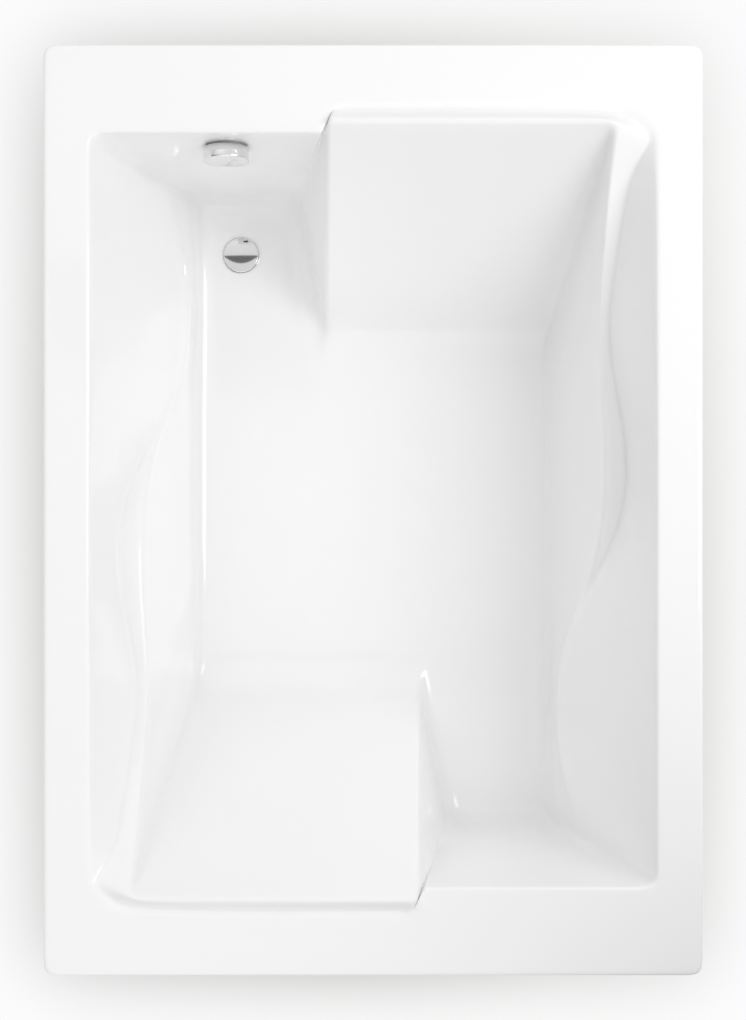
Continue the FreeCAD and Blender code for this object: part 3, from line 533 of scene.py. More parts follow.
SIDE_SOFT = ([ARM_SOFT] * 12 + [(ARM_SOFT + BACK_SOFT) / 2] + [BACK_SOFT] * 4 + [DIVIDER_SOFT] * 5
             + [(DIVIDER_SOFT + FOOT_SOFT) / 2] + [FOOT_SOFT] * 4
             + [(FOOT_SOFT + ARM_SOFT) / 2] + [ARM_SOFT] * 2)


def outward(ring, distance):
    """A ring on the deck, moved away from the opening."""
    up = Vector((0, 0, 1))
    moved = []
    for index, here in enumerate(ring):
        before, after = ring[index - 1], ring[(index + 1) % len(ring)]
        way = (here - before).cross(up).normalized() + (after - here).cross(up).normalized()
        moved.append(here + way * (distance * 2 / way.length ** 2))
    return moved


def rim_ring(deck, inset, down):
    """The rim's outline with as many points as the deck's, so that both join up."""
    x, y, soft = RIM_WIDTH / 2 - inset, RIM_LENGTH / 2 - inset, RIM_CORNER * ARC_REACH
    side = [spot(x, p.y, down) for p in deck[ALONG_SIDE]]
    end = [spot(p.x, y, down) for p in deck[ALONG_END]]
    ring = side + bend(side[-1], spot(x, y, down), end[0], soft) + end
    ring = ring + bend(end[-1], spot(-x, y, down), half_turn(side[0]), soft)
    return ring + [half_turn(p) for p in ring]


def control_rings():
    deck, trough, ridge = deck_ring(), trough_ring(), ridge_ring()
    edge = gathered(deck)
    floor, inside = floor_ring(0), floor_ring(1)
    around = range(len(deck))
    side_soft = SIDE_SOFT * 2
    rim_reach = RIM_ROUND * ARC_REACH
    return [
        *[rim_ring(deck, 0, down) for down in (RIM_DROP, RIM_DROP / 2, rim_reach, 0)],
        *[rim_ring(deck, inset, 0) for inset in (rim_reach, 3 * rim_reach)],
        outward(deck, 2 * DECK_SOFT),
        outward(deck, DECK_SOFT),
        edge,
        [toward(edge[i], trough[i], DECK_SOFT, WALL_SHARE) for i in around],
        [toward(trough[i], edge[i], WAVE_SOFT, WALL_SHARE) for i in around],
        trough,
        ridge,
        [toward(ridge[i], floor[i], RIDGE_SOFT, WALL_SHARE) for i in around],
        [toward(floor[i], ridge[i], side_soft[i], FLOOR_SHARE) for i in around],
        floor,
        inside,
    ]


def grown(rings):
    """A ring of points, extruded through the others."""
    mesh = bmesh.new()
    row = [mesh.verts.new(p) for p in rings[0]]
    edges = [mesh.edges.new((row[i], row[(i + 1) % len(row)])) for i in range(len(row))]
    for ring in rings[1:]:
        new = bmesh.ops.extrude_edge_only(mesh, edges=edges)["geom"]
        fresh = {v for v in new if isinstance(v, bmesh.types.BMVert)}
        row = [next(e.other_vert(v) for e in v.link_edges if e.other_vert(v) in fresh) for v in row]
        for vertex, point in zip(row, ring):
            vertex.co = point
        edges = [mesh.edges.get((row[i], row[(i + 1) % len(row)])) for i in range(len(row))]
    return mesh


def subdivided(mesh, levels):
    """The mesh as a smooth subdivision surface, worked out at once."""
    cage = placed_object("cage", mesh)
    modifier = cage.modifiers.new("smooth", "SUBSURF")
    modifier.levels = modifier.render_levels = levels
    smooth = bmesh.new()
    smooth.from_object(cage, bpy.context.evaluated_depsgraph_get())
    bpy.data.objects.remove(cage)
    return smooth


def walled(piece, thickness, inner_finish=0, even=True):
    """Gives a skin its thickness, inwards; the inner side takes its own finish if it has one."""
    wall = piece.modifiers.new("wall", "SOLIDIFY")
    wall.thickness, wall.offset, wall.use_even_offset = thickness, -1.0, even
    wall.material_offset = inner_finish


def moulding():
    """The whole acrylic sheet: the smooth side and its glass-fibre back."""
    mesh = subdivided(grown(control_rings()), SMOOTH_LEVELS)
    floor_edge = [e for e in mesh.edges
                  if e.is_boundary and max(v.co.z for v in e.verts) < FLOOR_TOP + SHEET]
    bmesh.ops.contextual_create(mesh, geom=floor_edge)
    bmesh.ops.recalc_face_normals(mesh, faces=mesh.faces)
    level = max(mesh.faces, key=lambda face: face.normal.z ** 2 * face.calc_area())
    if level.normal.z < 0:
        bmesh.ops.reverse_faces(mesh, faces=mesh.faces)
    shell = settled("bath_moulding", mesh, "acrylic_shell", None, "root", FINISHES["white_acrylic"], BACKING)
    walled(shell, SHEET, inner_finish=1)
    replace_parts(shell, "acrylic_shell")


# Turned pieces

WALL_LEAN = math.atan2(FOOT_LEAN, BASIN_DEPTH)
OVERFLOW_AT = spot(-WASTE_LANE, OPENING[1] - FOOT_LEAN * OVERFLOW_DOWN / BASIN_DEPTH, OVERFLOW_DOWN)
ON_WALL = Matrix.Translation(OVERFLOW_AT) @ Matrix.Rotation(math.pi / 2 - WALL_LEAN, 4, "X")
WASTE_ALONG = FOOT_FLOOR - WASTE_SETBACK
ON_FLOOR = Matrix.Translation((-WASTE_LANE, WASTE_ALONG, FLOOR_TOP))


def rounded(profile, corner, reach, steps=ARC_STEPS):
    """The profile with one of its corners turned into a small arc."""
    here = Vector(profile[corner])
    before, after = Vector(profile[corner - 1]), Vector(profile[(corner + 1) % len(profile)])
    start, end = here + (before - here).normalized() * reach, here + (after - here).normalized() * reach
    arc = []
    for step in range(steps + 1):
        t = step / steps
        arc.append(tuple(start * (1 - t) ** 2 + here * (2 * t * (1 - t)) + end * t ** 2))
    return profile[:corner] + arc + profile[corner + 1:]


def softened(profile, reaches):
    """Several corners rounded at once, by their place in the profile."""
    for corner in sorted(reaches, reverse=True):
        profile = rounded(profile, corner, reaches[corner])
    return profile


def added(mesh, before):
    """The points that a mesh has gained."""
    return [v for v in mesh.verts if v not in before]


def spun(mesh, profile, steps, closed=False, climb=0.0):
    """Spins (radius, height) points about the upright axis, with a climb for a thread."""
    points = [mesh.verts.new((r, 0, z)) for r, z in profile]
    pairs = list(zip(points, points[1:])) + ([(points[-1], points[0])] if closed else [])
    edges = [mesh.edges.new(pair) for pair in pairs]
    bmesh.ops.spin(mesh, geom=points + edges, cent=(0, 0, 0), axis=(0, 0, 1), dvec=(0, 0, climb / steps),
                   angle=math.tau, steps=steps, use_merge=climb == 0, use_duplicate=False)


def turned(mesh, profile, place, steps, closed=False):
    """A turned form in its place, added to the mesh."""
    before = set(mesh.verts)
    spun(mesh, profile, steps, closed)
    bmesh.ops.transform(mesh, matrix=place, verts=added(mesh, before))
    return mesh


def merged(mesh):
    bmesh.ops.remove_doubles(mesh, verts=mesh.verts, dist=MERGE_WITHIN)
    bmesh.ops.recalc_face_normals(mesh, faces=mesh.faces)
    return mesh


def ring_of(outer, inner, low, high, soft):
    """The closed section of a tube or washer with its edges rounded."""
    return softened([(inner, low), (outer, low), (outer, high), (inner, high)], dict.fromkeys(range(4), soft))


def bar(mesh, low, high, place):
    """A block between two corners, set in its place."""
    made = bmesh.ops.create_cube(mesh, size=1.0)["verts"]
    middle, size = (Vector(low) + Vector(high)) / 2, Vector(high) - Vector(low)
    bmesh.ops.scale(mesh, vec=size, verts=made)
    bmesh.ops.translate(mesh, vec=middle, verts=made)
    bmesh.ops.transform(mesh, matrix=place, verts=made)


def webs(mesh, inner, outer, low, high, place):
    """Radial webs between two tubes, rooted in both, the first one straight up."""
    for k in range(WEBS):
        turn = Matrix.Rotation(math.pi / 2 + math.tau * k / WEBS, 4, "Z")
        bar(mesh, (inner - WEB_ROOT, -WEB / 2, low), (outer + WEB_ROOT, WEB / 2, high), place @ turn)


def ribs(mesh, inner, outer, low, high, place):
    """Thin ribs all round a cup, under its flange."""
    for k in range(RIBS):
        turn = Matrix.Rotation(math.tau * (k + 0.5) / RIBS, 4, "Z")
        bar(mesh, (inner - ROOTED, -RIB / 2, low), (outer - RIB_SETBACK, RIB / 2, high), place @ turn)


def toward_y(place, start, direction):
    """An upright axis laid along y, from a point in a piece's own frame."""
    return place @ Matrix.Translation(start) @ Matrix.Rotation(-direction * math.pi / 2, 4, "X")


def overflow_cap():
    """A chromed cap with a water slot in its lower edge, unplated inside and painted black there as painted
    shade in the slot.
    """
    front = KNOB_GAP + KNOB_THICKNESS
    profile = rounded([(KNOB_RADIUS, KNOB_GAP), (KNOB_RADIUS, front), (KNOB_RADIUS / 2, front), (0, front)],
                      1, KNOB_BEVEL, BEVEL_STEPS)
    mesh = merged(turned(bmesh.new(), profile, Matrix.Identity(4), CAP_STEPS))
    half, top, rear = SLOT_WIDTH / 2, SLOT_HEIGHT - KNOB_RADIUS, front - SLOT_DEPTH
    for point, normal in (((half, 0, 0), (1, 0, 0)), ((-half, 0, 0), (1, 0, 0)), ((0, top, 0), (0, 1, 0)),
                          ((0, 0, rear), (0, 0, 1))):
        bmesh.ops.bisect_plane(mesh, geom=mesh.verts[:] + mesh.edges[:] + mesh.faces[:], dist=CUT_WITHIN,
                               plane_co=point, plane_no=normal)
    middle = {face: face.calc_center_bounds() for face in mesh.faces}
    gone = [face for face, c in middle.items() if abs(c.x) < half and c.y < top and c.z > rear]
    bmesh.ops.delete(mesh, geom=gone, context="FACES")
    mesh.transform(ON_WALL)
    cap = settled("overflow_cap", mesh, "overflow_knob", SHARP_SMOOTH, "knob", FINISHES["chrome"],
                  FINISHES["black_plastic"])
    # The inside takes the black moulding's finish: painted shade in the cap and its slot, over an unplated
    # inside
    walled(cap, KNOB_WALL, inner_finish=1)
    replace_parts(cap, "overflow_knob")


def face_ring():
    """The ring clamped in the wall, with webs to the spindle's bearing."""
    rear = -SHEET - SEAL_THICKNESS - ELBOW_FLANGE - HUB_PROUD
    profile = [(HUB_BORE, rear), (HUB, rear), (HUB, 0), (FACE_RADIUS, 0), (FACE_RADIUS, FACE_THICKNESS),
               (HUB_BORE, FACE_THICKNESS)]
    profile = softened(profile, {1: ROUND_SMALL, 4: ROUND_LARGE, 5: ROUND_MIDDLE})
    mesh = turned(bmesh.new(), profile, ON_WALL, CUP_STEPS, closed=True)
    bearing = ring_of(BEARING, SPINDLE_BORE, -SHEET, FACE_THICKNESS, ROUND_SMALL)
    turned(mesh, bearing, ON_WALL, BEARING_STEPS, closed=True)
    webs(mesh, BEARING, HUB_BORE, -SHEET, FACE_THICKNESS - WEB_SETBACK, ON_WALL)
    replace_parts(settled("overflow_face_ring", merged(mesh), "overflow_face", SHARP_MOULDED), "overflow_face")


def washers():
    """The two clamped seals and the plug's own, each a rubber ring with soft edges."""
    low = -SHEET - SEAL_THICKNESS
    for name, node, body, outer, inner, bottom, top, place in (
            ("overflow_gasket", "overflow_seal", "root", SEAL_RADIUS, HOLE, low, -SHEET, ON_WALL),
            ("waste_gasket", "waste_seal", "root", WASTE_SEAL_RADIUS, WASTE_HOLE, low, -SHEET, ON_FLOOR),
            ("plug_gasket", "plug_seal", "plug", PLUG_SEAL_RADIUS, PLUG_BOSS + PLUG_SEAL_FIT,
             PLUG_UNDER - PLUG_SEAL_THICKNESS, PLUG_UNDER, ON_FLOOR)):
        section = ring_of(outer, inner, bottom, top, (top - bottom) / 3)
        mesh = merged(turned(bmesh.new(), section, place, CUP_STEPS, closed=True))
        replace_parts(settled(name, mesh, node, SHARP_SOFT, body), node)


def moulded_elbow():
    """The cup behind the wall, with its spigot, ribs and cable socket."""
    rim = -SHEET - SEAL_THICKNESS - ELBOW_FLANGE
    back = -SHEET - SEAL_THICKNESS - ELBOW_DEPTH
    level, floor = (rim + back) / 2, back + ELBOW_WALL
    inner, mouth = ELBOW - ELBOW_WALL, HUB + PLAY
    profile = [(0, back), (ELBOW, back), (ELBOW, rim), (SEAL_RADIUS, rim), (SEAL_RADIUS, rim + ELBOW_FLANGE),
               (mouth, rim + ELBOW_FLANGE), (mouth, rim), (inner, rim), (inner, floor), (0, floor)]
    profile = softened(profile, {1: ELBOW_ROUND, 2: ELBOW_NECK, 3: ROUND_MIDDLE, 4: ROUND_MIDDLE,
                                 8: ELBOW_WALL})
    mesh = turned(bmesh.new(), profile, ON_WALL, CUP_STEPS)
    bearing = ring_of(BEARING, SPINDLE_BORE, floor - ROOTED, floor + BEARING_LENGTH, ROUND_LEAST)
    turned(mesh, bearing, ON_WALL, BEARING_STEPS, closed=True)
    spigot(mesh, toward_y(ON_WALL, (0, -inner, level), -1), ELBOW - inner + SPIGOT_LENGTH)
    socket(mesh, toward_y(ON_WALL, (CABLE_SIDE, 0, level), -1), ELBOW + SOCKET_LENGTH)
    ribs(mesh, ELBOW, SEAL_RADIUS, rim - ELBOW_RIB_LENGTH, rim, ON_WALL)
    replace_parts(settled("overflow_cup", merged(mesh), "overflow_elbow", SHARP_MOULDED), "overflow_elbow")


def spigot(mesh, place, length):
    """A short tube with a collar at its mouth."""
    bore, groove, collar = PIPE + PIPE_FIT, SPIGOT - COLLAR_STEP, length - COLLAR_LENGTH
    profile = [(bore, 0), (groove, 0), (groove, collar), (SPIGOT, collar), (SPIGOT, length), (bore, length)]
    profile = softened(profile, {3: ROUND_LEAST, 4: ROUND_MIDDLE})
    turned(mesh, profile, place, SPIGOT_STEPS, closed=True)


def socket(mesh, place, length):
    """The cable's socket: a boss with a waist behind a thin collar."""
    waist, bore = SOCKET - SOCKET_WAIST, CABLE + PLAY
    seat, collar = length - SOCKET_LENGTH, length - SOCKET_COLLAR
    profile = [(CABLE / 2, 0), (SOCKET, 0), (SOCKET, length * WAIST_FROM), (waist, length * WAIST_TO),
               (waist, collar - WAIST_EASE), (SOCKET, collar), (SOCKET, length), (bore, length), (bore, seat),
               (CABLE / 2, seat)]
    turned(mesh, profile, place, SOCKET_STEPS, closed=True)


def waste_rim():
    """The flange in the floor, with its recess, tail and the guide for the plug's stem."""
    seat, guide_top = FLANGE_RADIUS - FLANGE_RIM, BEARING_LENGTH - TAIL_LENGTH
    profile = [(TAIL_BORE, -TAIL_LENGTH), (TAIL_RADIUS, -TAIL_LENGTH), (TAIL_RADIUS, 0), (FLANGE_RADIUS, 0),
               (FLANGE_RADIUS, FLANGE_THICKNESS), (seat, FLANGE_THICKNESS), (seat, FLANGE_RECESS),
               (TAIL_BORE + FLANGE_THICKNESS, FLANGE_RECESS), (TAIL_BORE, FLANGE_RECESS - FLANGE_THICKNESS)]
    profile = softened(profile, {4: FLANGE_ROUND, 5: FLANGE_EASE})
    mesh = turned(bmesh.new(), profile, ON_FLOOR, COVER_STEPS, closed=True)
    guide = ring_of(GUIDE, STEM + PLAY, -TAIL_LENGTH, guide_top, ROUND_LEAST)
    turned(mesh, guide, ON_FLOOR, BEARING_STEPS, closed=True)
    webs(mesh, GUIDE, TAIL_BORE, -TAIL_LENGTH, guide_top, ON_FLOOR)
    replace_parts(settled("waste_rim", merged(mesh), "waste_flange", SHARP_SMOOTH), "waste_flange")


def plug_cover():
    """The crowned cover, with the boss and stem under it."""
    stem_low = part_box("waste_plug")[0][2] - FLOOR_TOP
    top, boss_low = PLUG_UNDER + PLUG_THICKNESS, PLUG_UNDER - PLUG_BOSS_HEIGHT
    crown = [(PLUG_RADIUS * share, top + PLUG_CROWN * (1 - share ** 2)) for share in CROWN_SHARES]
    profile = [(0, stem_low), (STEM, stem_low), (STEM, boss_low), (PLUG_BOSS, boss_low),
               (PLUG_BOSS, PLUG_UNDER), (PLUG_RADIUS, PLUG_UNDER), (PLUG_RADIUS, top)] + crown
    profile = softened(profile, {1: ROUND_MIDDLE, 6: ROUND_LARGE})
    mesh = merged(turned(bmesh.new(), profile, ON_FLOOR, COVER_STEPS))
    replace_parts(settled("plug_cover", mesh, "waste_plug", SHARP_SMOOTH, "plug"), "waste_plug")


def moulded_trap():
    """The cup under the floor, with its spigot, cable socket, ringed outlet and ribs."""
    rim = -SHEET - SEAL_THICKNESS
    bottom, under_rim = rim - CUP_DEPTH, rim - CUP_RIM
    inner, bore, valley = CUP - CUP_WALL, OUTLET - OUTLET_WALL, OUTLET - RING_DEPTH
    mouth, seat, end = TAIL_RADIUS + PLAY, -TAIL_LENGTH - PLAY, bottom - OUTLET_LENGTH
    profile = [(bore, end), (valley, end)]
    for k in range(OUTLET_RINGS):
        foot = end + RING_START + k * RING_PITCH
        profile += zip((valley, OUTLET, OUTLET, valley), [foot + height for height in RING_HEIGHTS])
    profile += [(valley, bottom), (CUP - CUP_ROUND, bottom), (CUP, bottom + CUP_ROUND), (CUP, under_rim),
                (WASTE_SEAL_RADIUS, under_rim), (WASTE_SEAL_RADIUS, rim), (mouth, rim), (mouth, seat),
                (inner, seat), (inner, bottom + CUP_WALL), (bore, bottom + CUP_WALL)]
    mesh = turned(bmesh.new(), profile, ON_FLOOR, CUP_STEPS, closed=True)
    spigot(mesh, toward_y(ON_FLOOR, (0, inner, -SPIGOT_DROP), 1), CUP - inner + SPIGOT_LENGTH)
    socket(mesh, toward_y(ON_FLOOR, (0, inner, -CABLE_DROP), 1), CUP - inner + SOCKET_LENGTH)
    ribs(mesh, CUP, WASTE_SEAL_RADIUS, under_rim - CUP_RIB_LENGTH, under_rim, ON_FLOOR)
    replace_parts(settled("waste_cup", merged(mesh), "waste_body", SHARP_MOULDED), "waste_body")


# Pipe and cable, along the CAD's own route

def swept(route, radius, bend_reach, sides, steps):
    """Rings of points along straight runs and the tangent arcs between them."""
    heading = (route[1] - route[0]).normalized()
    across = heading.cross(Vector((1, 0, 0))).normalized()
    stations = [(route[0], heading, across)]
    for before, here, after in zip(route, route[1:], route[2:]):
        shorter = min((here - before).length, (after - here).length)
        into, out = (here - before).normalized(), (after - here).normalized()
        turn = into.angle(out)
        reach = min(bend_reach * math.tan(turn / 2), BEND_SHARE * shorter)
        axis = into.cross(out).normalized()
        centre = here - into * reach + axis.cross(into) * (reach / math.tan(turn / 2))
        start = here - into * reach - centre
        for step in range(steps + 1):
            bent = Matrix.Rotation(turn * step / steps, 3, axis)
            stations.append((centre + bent @ start, bent @ into, bent @ across))
        across = bent @ across
    stations.append((route[-1], (route[-1] - route[-2]).normalized(), across))
    rings = []
    for centre, heading, side in stations:
        lift = heading.cross(side).normalized()
        side = lift.cross(heading).normalized()
        rings.append([centre + side * (radius * math.cos(a)) + lift * (radius * math.sin(a))
                      for a in (math.tau * k / sides for k in range(sides))])
    return rings


def down_the_wall(start, level):
    """Where a run down the slope of the foot wall comes to a level."""
    down = ON_WALL.to_3x3() @ Vector((0, -1, 0))
    return start + down * ((start.z - level) / -down.z)


def pipe_and_cable():
    """The overflow pipe, and the cable's sheath with a ferrule at each end."""
    level = -SHEET - SEAL_THICKNESS - (ELBOW_FLANGE + ELBOW_DEPTH) / 2
    top = ON_WALL @ Vector((0, -ELBOW, level))
    end = Vector((-WASTE_LANE, WASTE_ALONG + CUP, FLOOR_TOP - SPIGOT_DROP))
    mesh = grown(swept([top, down_the_wall(top, end.z), end], PIPE, PIPE_BEND, PIPE_SIDES, PIPE_STEPS))
    pipe = settled("overflow_tube", merged(mesh), "overflow_pipe", SHARP_SOFT)
    walled(pipe, PIPE_WALL, even=False)
    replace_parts(pipe, "overflow_pipe")
    top = ON_WALL @ Vector((CABLE_SIDE, -ELBOW, level))
    end = Vector((-WASTE_LANE, WASTE_ALONG + CUP, FLOOR_TOP - CABLE_DROP))
    route = [top, down_the_wall(top, end.z), end + Vector((0, 2 * SOCKET_LENGTH, 0)), end]
    sheath = CABLE - FERRULE_WALL
    mesh = grown(swept(route, sheath, CABLE_BEND, CABLE_SIDES, CABLE_STEPS))
    for rim in (mesh.verts[:CABLE_SIDES], mesh.verts[-CABLE_SIDES:]):
        bmesh.ops.contextual_create(mesh, geom=rim)
    tip = SOCKET_LENGTH + FERRULE_LENGTH
    ferrule = [(0, 0), (CABLE, 0), (CABLE, tip - FERRULE_TAPER), (sheath, tip), (0, tip)]
    for start, goal in ((route[0], route[1]), (route[-1], route[-2])):
        way = (goal - start).normalized().to_track_quat("Z", "Y")
        turned(mesh, ferrule, Matrix.Translation(start) @ way.to_matrix().to_4x4(), FERRULE_STEPS)
    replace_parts(settled("cable_sheath", merged(mesh), "control_cable", SHARP_SMOOTH), "control_cable")


# Feet and screws

def threaded(mesh, radius, low, high, place):
    """A true helical thread: a row of crests spun with a climb of one pitch, cut level at both ends."""
    before = set(mesh.verts)
    root = radius - PITCH * THREAD_DEPTH
    profile = []
    for k in range(int((high - low) / PITCH) + SPARE_TURNS + 1):
        foot = low - SPARE_TURNS * PITCH + k * PITCH
        profile += [(root, foot), (radius, foot + PITCH * FLANK), (radius, foot + PITCH * (1 - FLANK))]
    spun(mesh, profile, THREAD_STEPS, climb=PITCH)
    bmesh.ops.remove_doubles(mesh, verts=added(mesh, before), dist=MERGE_WITHIN)
    for height, way in ((low, -1), (high, 1)):
        fresh = added(mesh, before)
        edges = list({e for v in fresh for e in v.link_edges})
        faces = list({f for v in fresh for f in v.link_faces})
        cut = bmesh.ops.bisect_plane(mesh, geom=fresh + edges + faces, dist=CUT_WITHIN,
                                     plane_co=(0, 0, height), plane_no=(0, 0, way), clear_outer=True)
        rim = [item for item in cut["geom_cut"] if isinstance(item, bmesh.types.BMEdge)]
        bmesh.ops.contextual_create(mesh, geom=rim)
    bmesh.ops.transform(mesh, matrix=place, verts=added(mesh, before))


def hexed(mesh, across, low, high, bore, chamfer, place):
    """A turned ring whose outer points are drawn in to six flats, with its corners chamfered."""
    corner, top_radius = across / 2 / math.cos(math.pi / 6), across / 2 * HEX_TOP
    profile = [(bore, low), (top_radius, low), (corner, low + chamfer), (corner, high - chamfer),
               (top_radius, high), (bore, high)]
    before = set(mesh.verts)
    spun(mesh, profile, HEX_STEPS, bore > 0)
    fresh = added(mesh, before)
    for v in fresh:
        reach = v.co.xy.length
        turn = math.atan2(v.co.y, v.co.x) % (math.pi / 3) - math.pi / 6
        flat = across / 2 / math.cos(turn)
        if reach > flat:
            v.co.xy *= flat / reach
    bmesh.ops.transform(mesh, matrix=place, verts=fresh)


def upright_at(low, high):
    """Where a piece stands: its middle on the ground, from its lowest and highest corner."""
    return Matrix.Translation(((low[0] + high[0]) / 2, (low[1] + high[1]) / 2, 0))


def foot(number):
    """One foot: a ribbed moulded pad, and its screw with a real thread."""
    screw, pad, body = "foot_screw_%d" % number, "foot_pad_%d" % number, "foot_%d" % number
    low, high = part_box(screw)
    place = upright_at(low, high)
    mesh = bmesh.new()
    threaded(mesh, THREAD, low[2], high[2], place)
    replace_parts(settled("levelling_screw_%d" % number, merged(mesh), screw, SHARP_CUT, body), screw)
    bore = THREAD + PAD_FIT
    profile = [(0, 0), (PAD - ROUND_LARGE, 0), (PAD, ROUND_LARGE), (PAD, PAD_SOLE - PAD_EASE),
               (PAD - PAD_EASE, PAD_SOLE), (PAD_TOP + PAD_WAIST, PAD_HEIGHT * PAD_WAIST_SHARE),
               (PAD_TOP - PAD_EASE, PAD_HEIGHT - PAD_EASE), (PAD_TOP - 2 * PAD_EASE, PAD_HEIGHT),
               (bore, PAD_HEIGHT), (bore, PAD_SOLE), (0, PAD_SOLE)]
    mesh = turned(bmesh.new(), profile, place, PAD_STEPS)
    for k in range(PAD_RIBS):
        turn = Matrix.Rotation(math.tau * (k + 0.5) / PAD_RIBS, 4, "Z")
        before = set(mesh.verts)
        bar(mesh, (PAD_TOP * PAD_RIB_START, -PAD_RIB / 2, PAD_SOLE - ROOTED),
            (PAD - PAD_RIB, PAD_RIB / 2, PAD_HEIGHT - 2 * PAD_EASE), Matrix.Identity(4))
        rib = added(mesh, before)
        for v in rib:
            if v.co.x > PAD_TOP and v.co.z > PAD_SOLE:
                v.co.z = PAD_SOLE + PAD_RIB_END
        bmesh.ops.transform(mesh, matrix=place @ turn, verts=rib)
    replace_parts(settled("moulded_foot_%d" % number, merged(mesh), pad, SHARP_MOULDED, body), pad)
    return place


def nuts_and_screws(feet):
    """The pair of nuts on each foot's screw, and the screws that hold the rails to the board."""
    low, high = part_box("rail_nuts")
    mesh = bmesh.new()
    for place in feet:
        for bottom in (low[2], high[2] - NUT_HEIGHT):
            degrees = place.translation.x * NUT_TURN_ACROSS + bottom * NUT_TURN_UP
            turn = Matrix.Rotation(math.radians(degrees), 4, "Z")
            hexed(mesh, NUT_ACROSS, bottom, bottom + NUT_HEIGHT, THREAD - NUT_BITE, NUT_CHAMFER, place @ turn)
    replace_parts(settled("lock_nuts", merged(mesh), "rail_nuts", SHARP_CUT), "rail_nuts")
    mesh = bmesh.new()
    for number, (low, high) in enumerate(islands("board_screws")):
        place = upright_at(low, high) @ Matrix.Rotation(SCREW_TURN * number, 4, "Z")
        face = low[2] + SCREW_HEAD_HEIGHT
        washer = face - SCREW_WASHER
        turned(mesh, [(0, washer), (SCREW_HEAD - WASHER_EDGE, washer), (SCREW_HEAD, washer + WASHER_EDGE),
                      (SCREW_HEAD, face), (0, face)], place, HEAD_STEPS)
        hexed(mesh, SCREW_HEAD_ACROSS, low[2], washer, 0, SCREW_CHAMFER, place)
        shank = [(0, face), (SHANK, face), (SHANK, high[2] - SHANK_TIP), (0, high[2])]
        turned(mesh, shank, place, SHANK_STEPS)
    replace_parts(settled("rail_screws", merged(mesh), "board_screws", SHARP_CUT), "board_screws")


def islands(node):
    """The lowest and highest corner of each separate solid in a node."""
    mesh = bmesh.new()
    mesh.from_mesh(frame["nodes"][node].data)
    bmesh.ops.remove_doubles(mesh, verts=mesh.verts, dist=MERGE_WITHIN)
    left, boxes = set(mesh.verts), []
    while left:
        found = [left.pop()]
        for vertex in found:
            joined = {edge.other_vert(vertex) for edge in vertex.link_edges} & left
            left -= joined
            found += joined
        boxes.append(tuple([pick(v.co[i] for v in found) for i in range(3)] for pick in (min, max)))
    mesh.free()
    return sorted(boxes)


moulding()
overflow_cap()
face_ring()
washers()
moulded_elbow()
waste_rim()
plug_cover()
moulded_trap()
pipe_and_cable()
nuts_and_screws([foot(number) for number in (1, 2, 3, 4)])


# Studio: tones and painted shade of the floor, the card, the lamp, and the light and dark of the sky

FLOOR_TONE, BACKDROP_TONE, FLOOR_REACH = 0.86, 0.98, 12.0
# Painted shadow on the floor: middle, half size, fall and share of a blurred rectangle round the bath's
# outline
SHADE_MIDDLE, SHADE_SIZE, SHADE_FALL, SHADE_SHARE = (0.006, 0.004), (0.644, 0.905), 21.5, 1.3
CARD_AT, CARD_REACH, CARD_TURN = (0.74, -0.98, 1.12), 0.5, math.radians(35.0)
LAMP_AT, LAMP_SIZE, LAMP_POWER = (2.3, 0.35, 3.1), (1.2, 1.6), 30
SKY, LOWEST_HEIGHT = 0.02, 0.001

# Soft patches of light: azimuth and elevation of the middle in degrees, strength, tightness

LOBES = (
    (0, 90, 0.52, 4.0),
    (0, 30, 0.90, 4.0),
    (90, 30, 0.64, 4.0),
    (135, 30, 0.90, 4.0),
    (270, 30, 1.40, 4.0),
)

# Dark band that the chrome shows, in slopes across and along

WEDGE_EDGE, WEDGE_DEPTH, WEDGE_MIDDLE, WEDGE_REACH, WEDGE_SOFT = 0.131, 0.078, -0.068, 0.170, 0.006
WEDGE_SHARE = 0.80


def seen_directly(finish):
    """1 for what the camera sees, by itself or in metal, and 0 for light that falls on the bath."""
    rays = [finish.add("ShaderNodeLightPath", output=name)
            for name in ("Is Camera Ray", "Is Glossy Ray", "Is Transmission Ray")]
    return (rays[0] + rays[1] + rays[2]).at_most(1.0)


def flat_sheet(name, reach, place, material):
    mesh = bmesh.new()
    bmesh.ops.create_grid(mesh, x_segments=1, y_segments=1, size=reach)
    mesh.transform(place)
    sheet = placed_object(name, mesh)
    sheet.data.materials.append(material)
    return sheet


def floor_of_studio():
    """A pale floor: near the bath it shows the bath's own shadow, and a painted shadow, a blurred rectangle
    round the bath's outline, sets how far that shadow reaches before it fades into an even glowing tone
    further out.
    """
    finish = Finish("studio_floor")
    here = finish.add("ShaderNodeTexCoord", output="Object")
    # Painted shadow: a blurred rectangle round the bath's outline sets where the floor shows its real shading
    # and where it glows evenly
    near = []
    for axis, middle, reach in zip("XY", SHADE_MIDDLE, SHADE_SIZE):
        away = abs(finish.add("ShaderNodeSeparateXYZ", {0: here}, axis) - middle)
        near.append(1 / (1 + math.e ** ((away - reach) * SHADE_FALL)))
    painted_shadow_fade = (1 - near[0] * near[1] * SHADE_SHARE).at_least(0.0)
    lit = finish.add("ShaderNodeBsdfDiffuse", {0: (*[FLOOR_TONE] * 3, 1)})
    even = finish.add("ShaderNodeEmission", {0: (*[BACKDROP_TONE] * 3, 1)})
    both = finish.add("ShaderNodeMixShader", {0: seen_directly(finish) * painted_shadow_fade, 1: lit, 2: even})
    finish.add("ShaderNodeOutputMaterial", {"Surface": both})
    floor = flat_sheet("studio_floor", FLOOR_REACH, Matrix.Identity(4), finish.material)


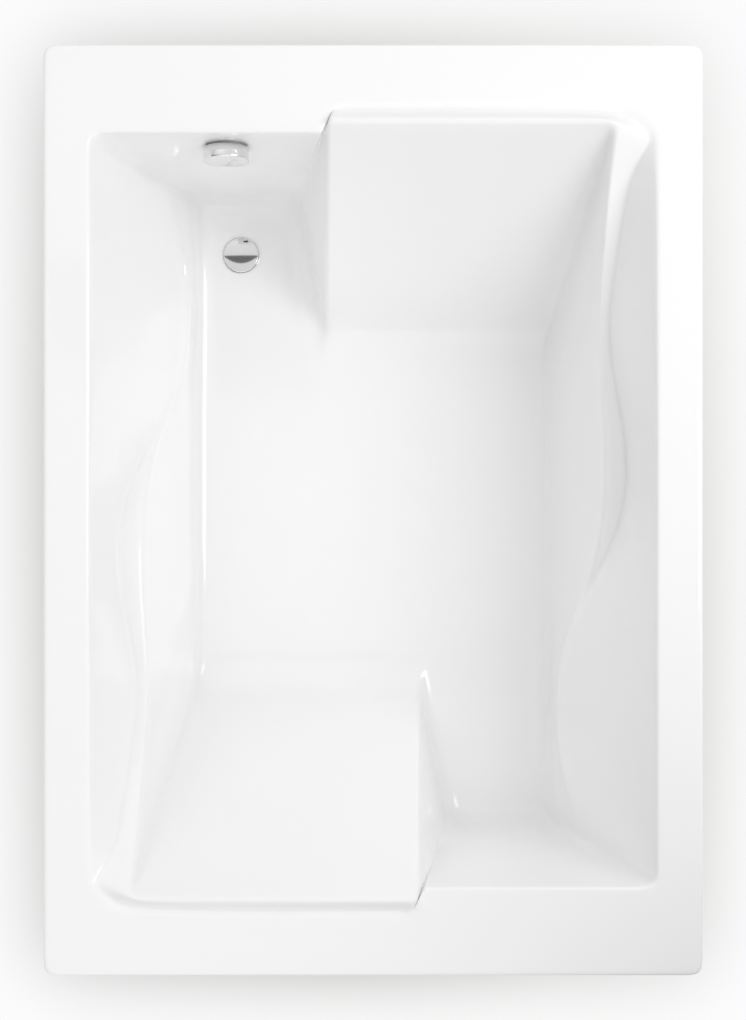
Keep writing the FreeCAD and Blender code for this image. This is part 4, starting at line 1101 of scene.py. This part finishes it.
def shade_card():
    """A dark card beyond the bath's near right corner, which takes some light from it."""
    finish = Finish("shade_card")
    material = finish.finished(Base_Color=(0.02, 0.02, 0.02, 1), Roughness=0.9)
    upright = Matrix.Rotation(CARD_TURN, 4, "Z") @ Matrix.Rotation(math.pi / 2, 4, "X")
    card = flat_sheet("shade_card", CARD_REACH, Matrix.Translation(CARD_AT) @ upright, material)
    card.visible_camera = card.visible_glossy = False


def lobe(world, way, azimuth, elevation, strength, tightness):
    """One soft patch of light round a direction."""
    turn, lift = math.radians(azimuth), math.radians(elevation)
    middle = Vector((math.cos(lift) * math.cos(turn), math.cos(lift) * math.sin(turn), math.sin(lift)))
    towards = world.add("ShaderNodeVectorMath", {0: way, 1: middle}, "Value", operation="DOT_PRODUCT")
    return towards.at_least(0.0) ** tightness * strength


def sky():
    """Soft light from all round, with one dark band for the chrome."""
    world = Finish("studio", world=True)
    bpy.context.scene.world = world.material
    way = world.add("ShaderNodeTexCoord", output="Generated")
    x, y, z = (world.add("ShaderNodeSeparateXYZ", {0: way}, axis) for axis in "XYZ")
    height = z.at_least(LOWEST_HEIGHT)
    slope_x, slope_y = x / height, y / height

    def inside(reach):
        return world.add("ShaderNodeMapRange", {"Value": reach, "From Min": 0.0, "From Max": WEDGE_SOFT})

    depth = (1 - ((slope_x - WEDGE_MIDDLE) * (1 / WEDGE_REACH)) ** 2) * WEDGE_DEPTH
    band = inside(slope_y + depth - WEDGE_EDGE) * inside(WEDGE_EDGE - slope_y)
    glow = sum((lobe(world, way, *values) for values in LOBES), SKY) * (1 - band * WEDGE_SHARE)
    camera = world.add("ShaderNodeLightPath", output="Is Camera Ray")
    light, plain = (world.add("ShaderNodeBackground", {"Color": (1, 1, 1, 1), "Strength": strength})
                    for strength in (glow, BACKDROP_TONE))
    both = world.add("ShaderNodeMixShader", {0: camera, 1: light, 2: plain})
    world.add("ShaderNodeOutputWorld", {"Surface": both})


def soft_lamp():
    """A large lamp to the right of the bath, aimed at its middle."""
    lamp = bpy.data.lights.new("key", "AREA")
    lamp.shape = "RECTANGLE"
    lamp.size, lamp.size_y = LAMP_SIZE
    lamp.energy = LAMP_POWER
    holder = placed_object("key", lamp)
    holder.location = LAMP_AT
    holder.rotation_mode = "QUATERNION"
    holder.rotation_quaternion = (-Vector(LAMP_AT)).to_track_quat("-Z", "Y")


floor_of_studio()
shade_card()
sky()
soft_lamp()

bpy.context.scene.view_settings.view_transform = "Standard"
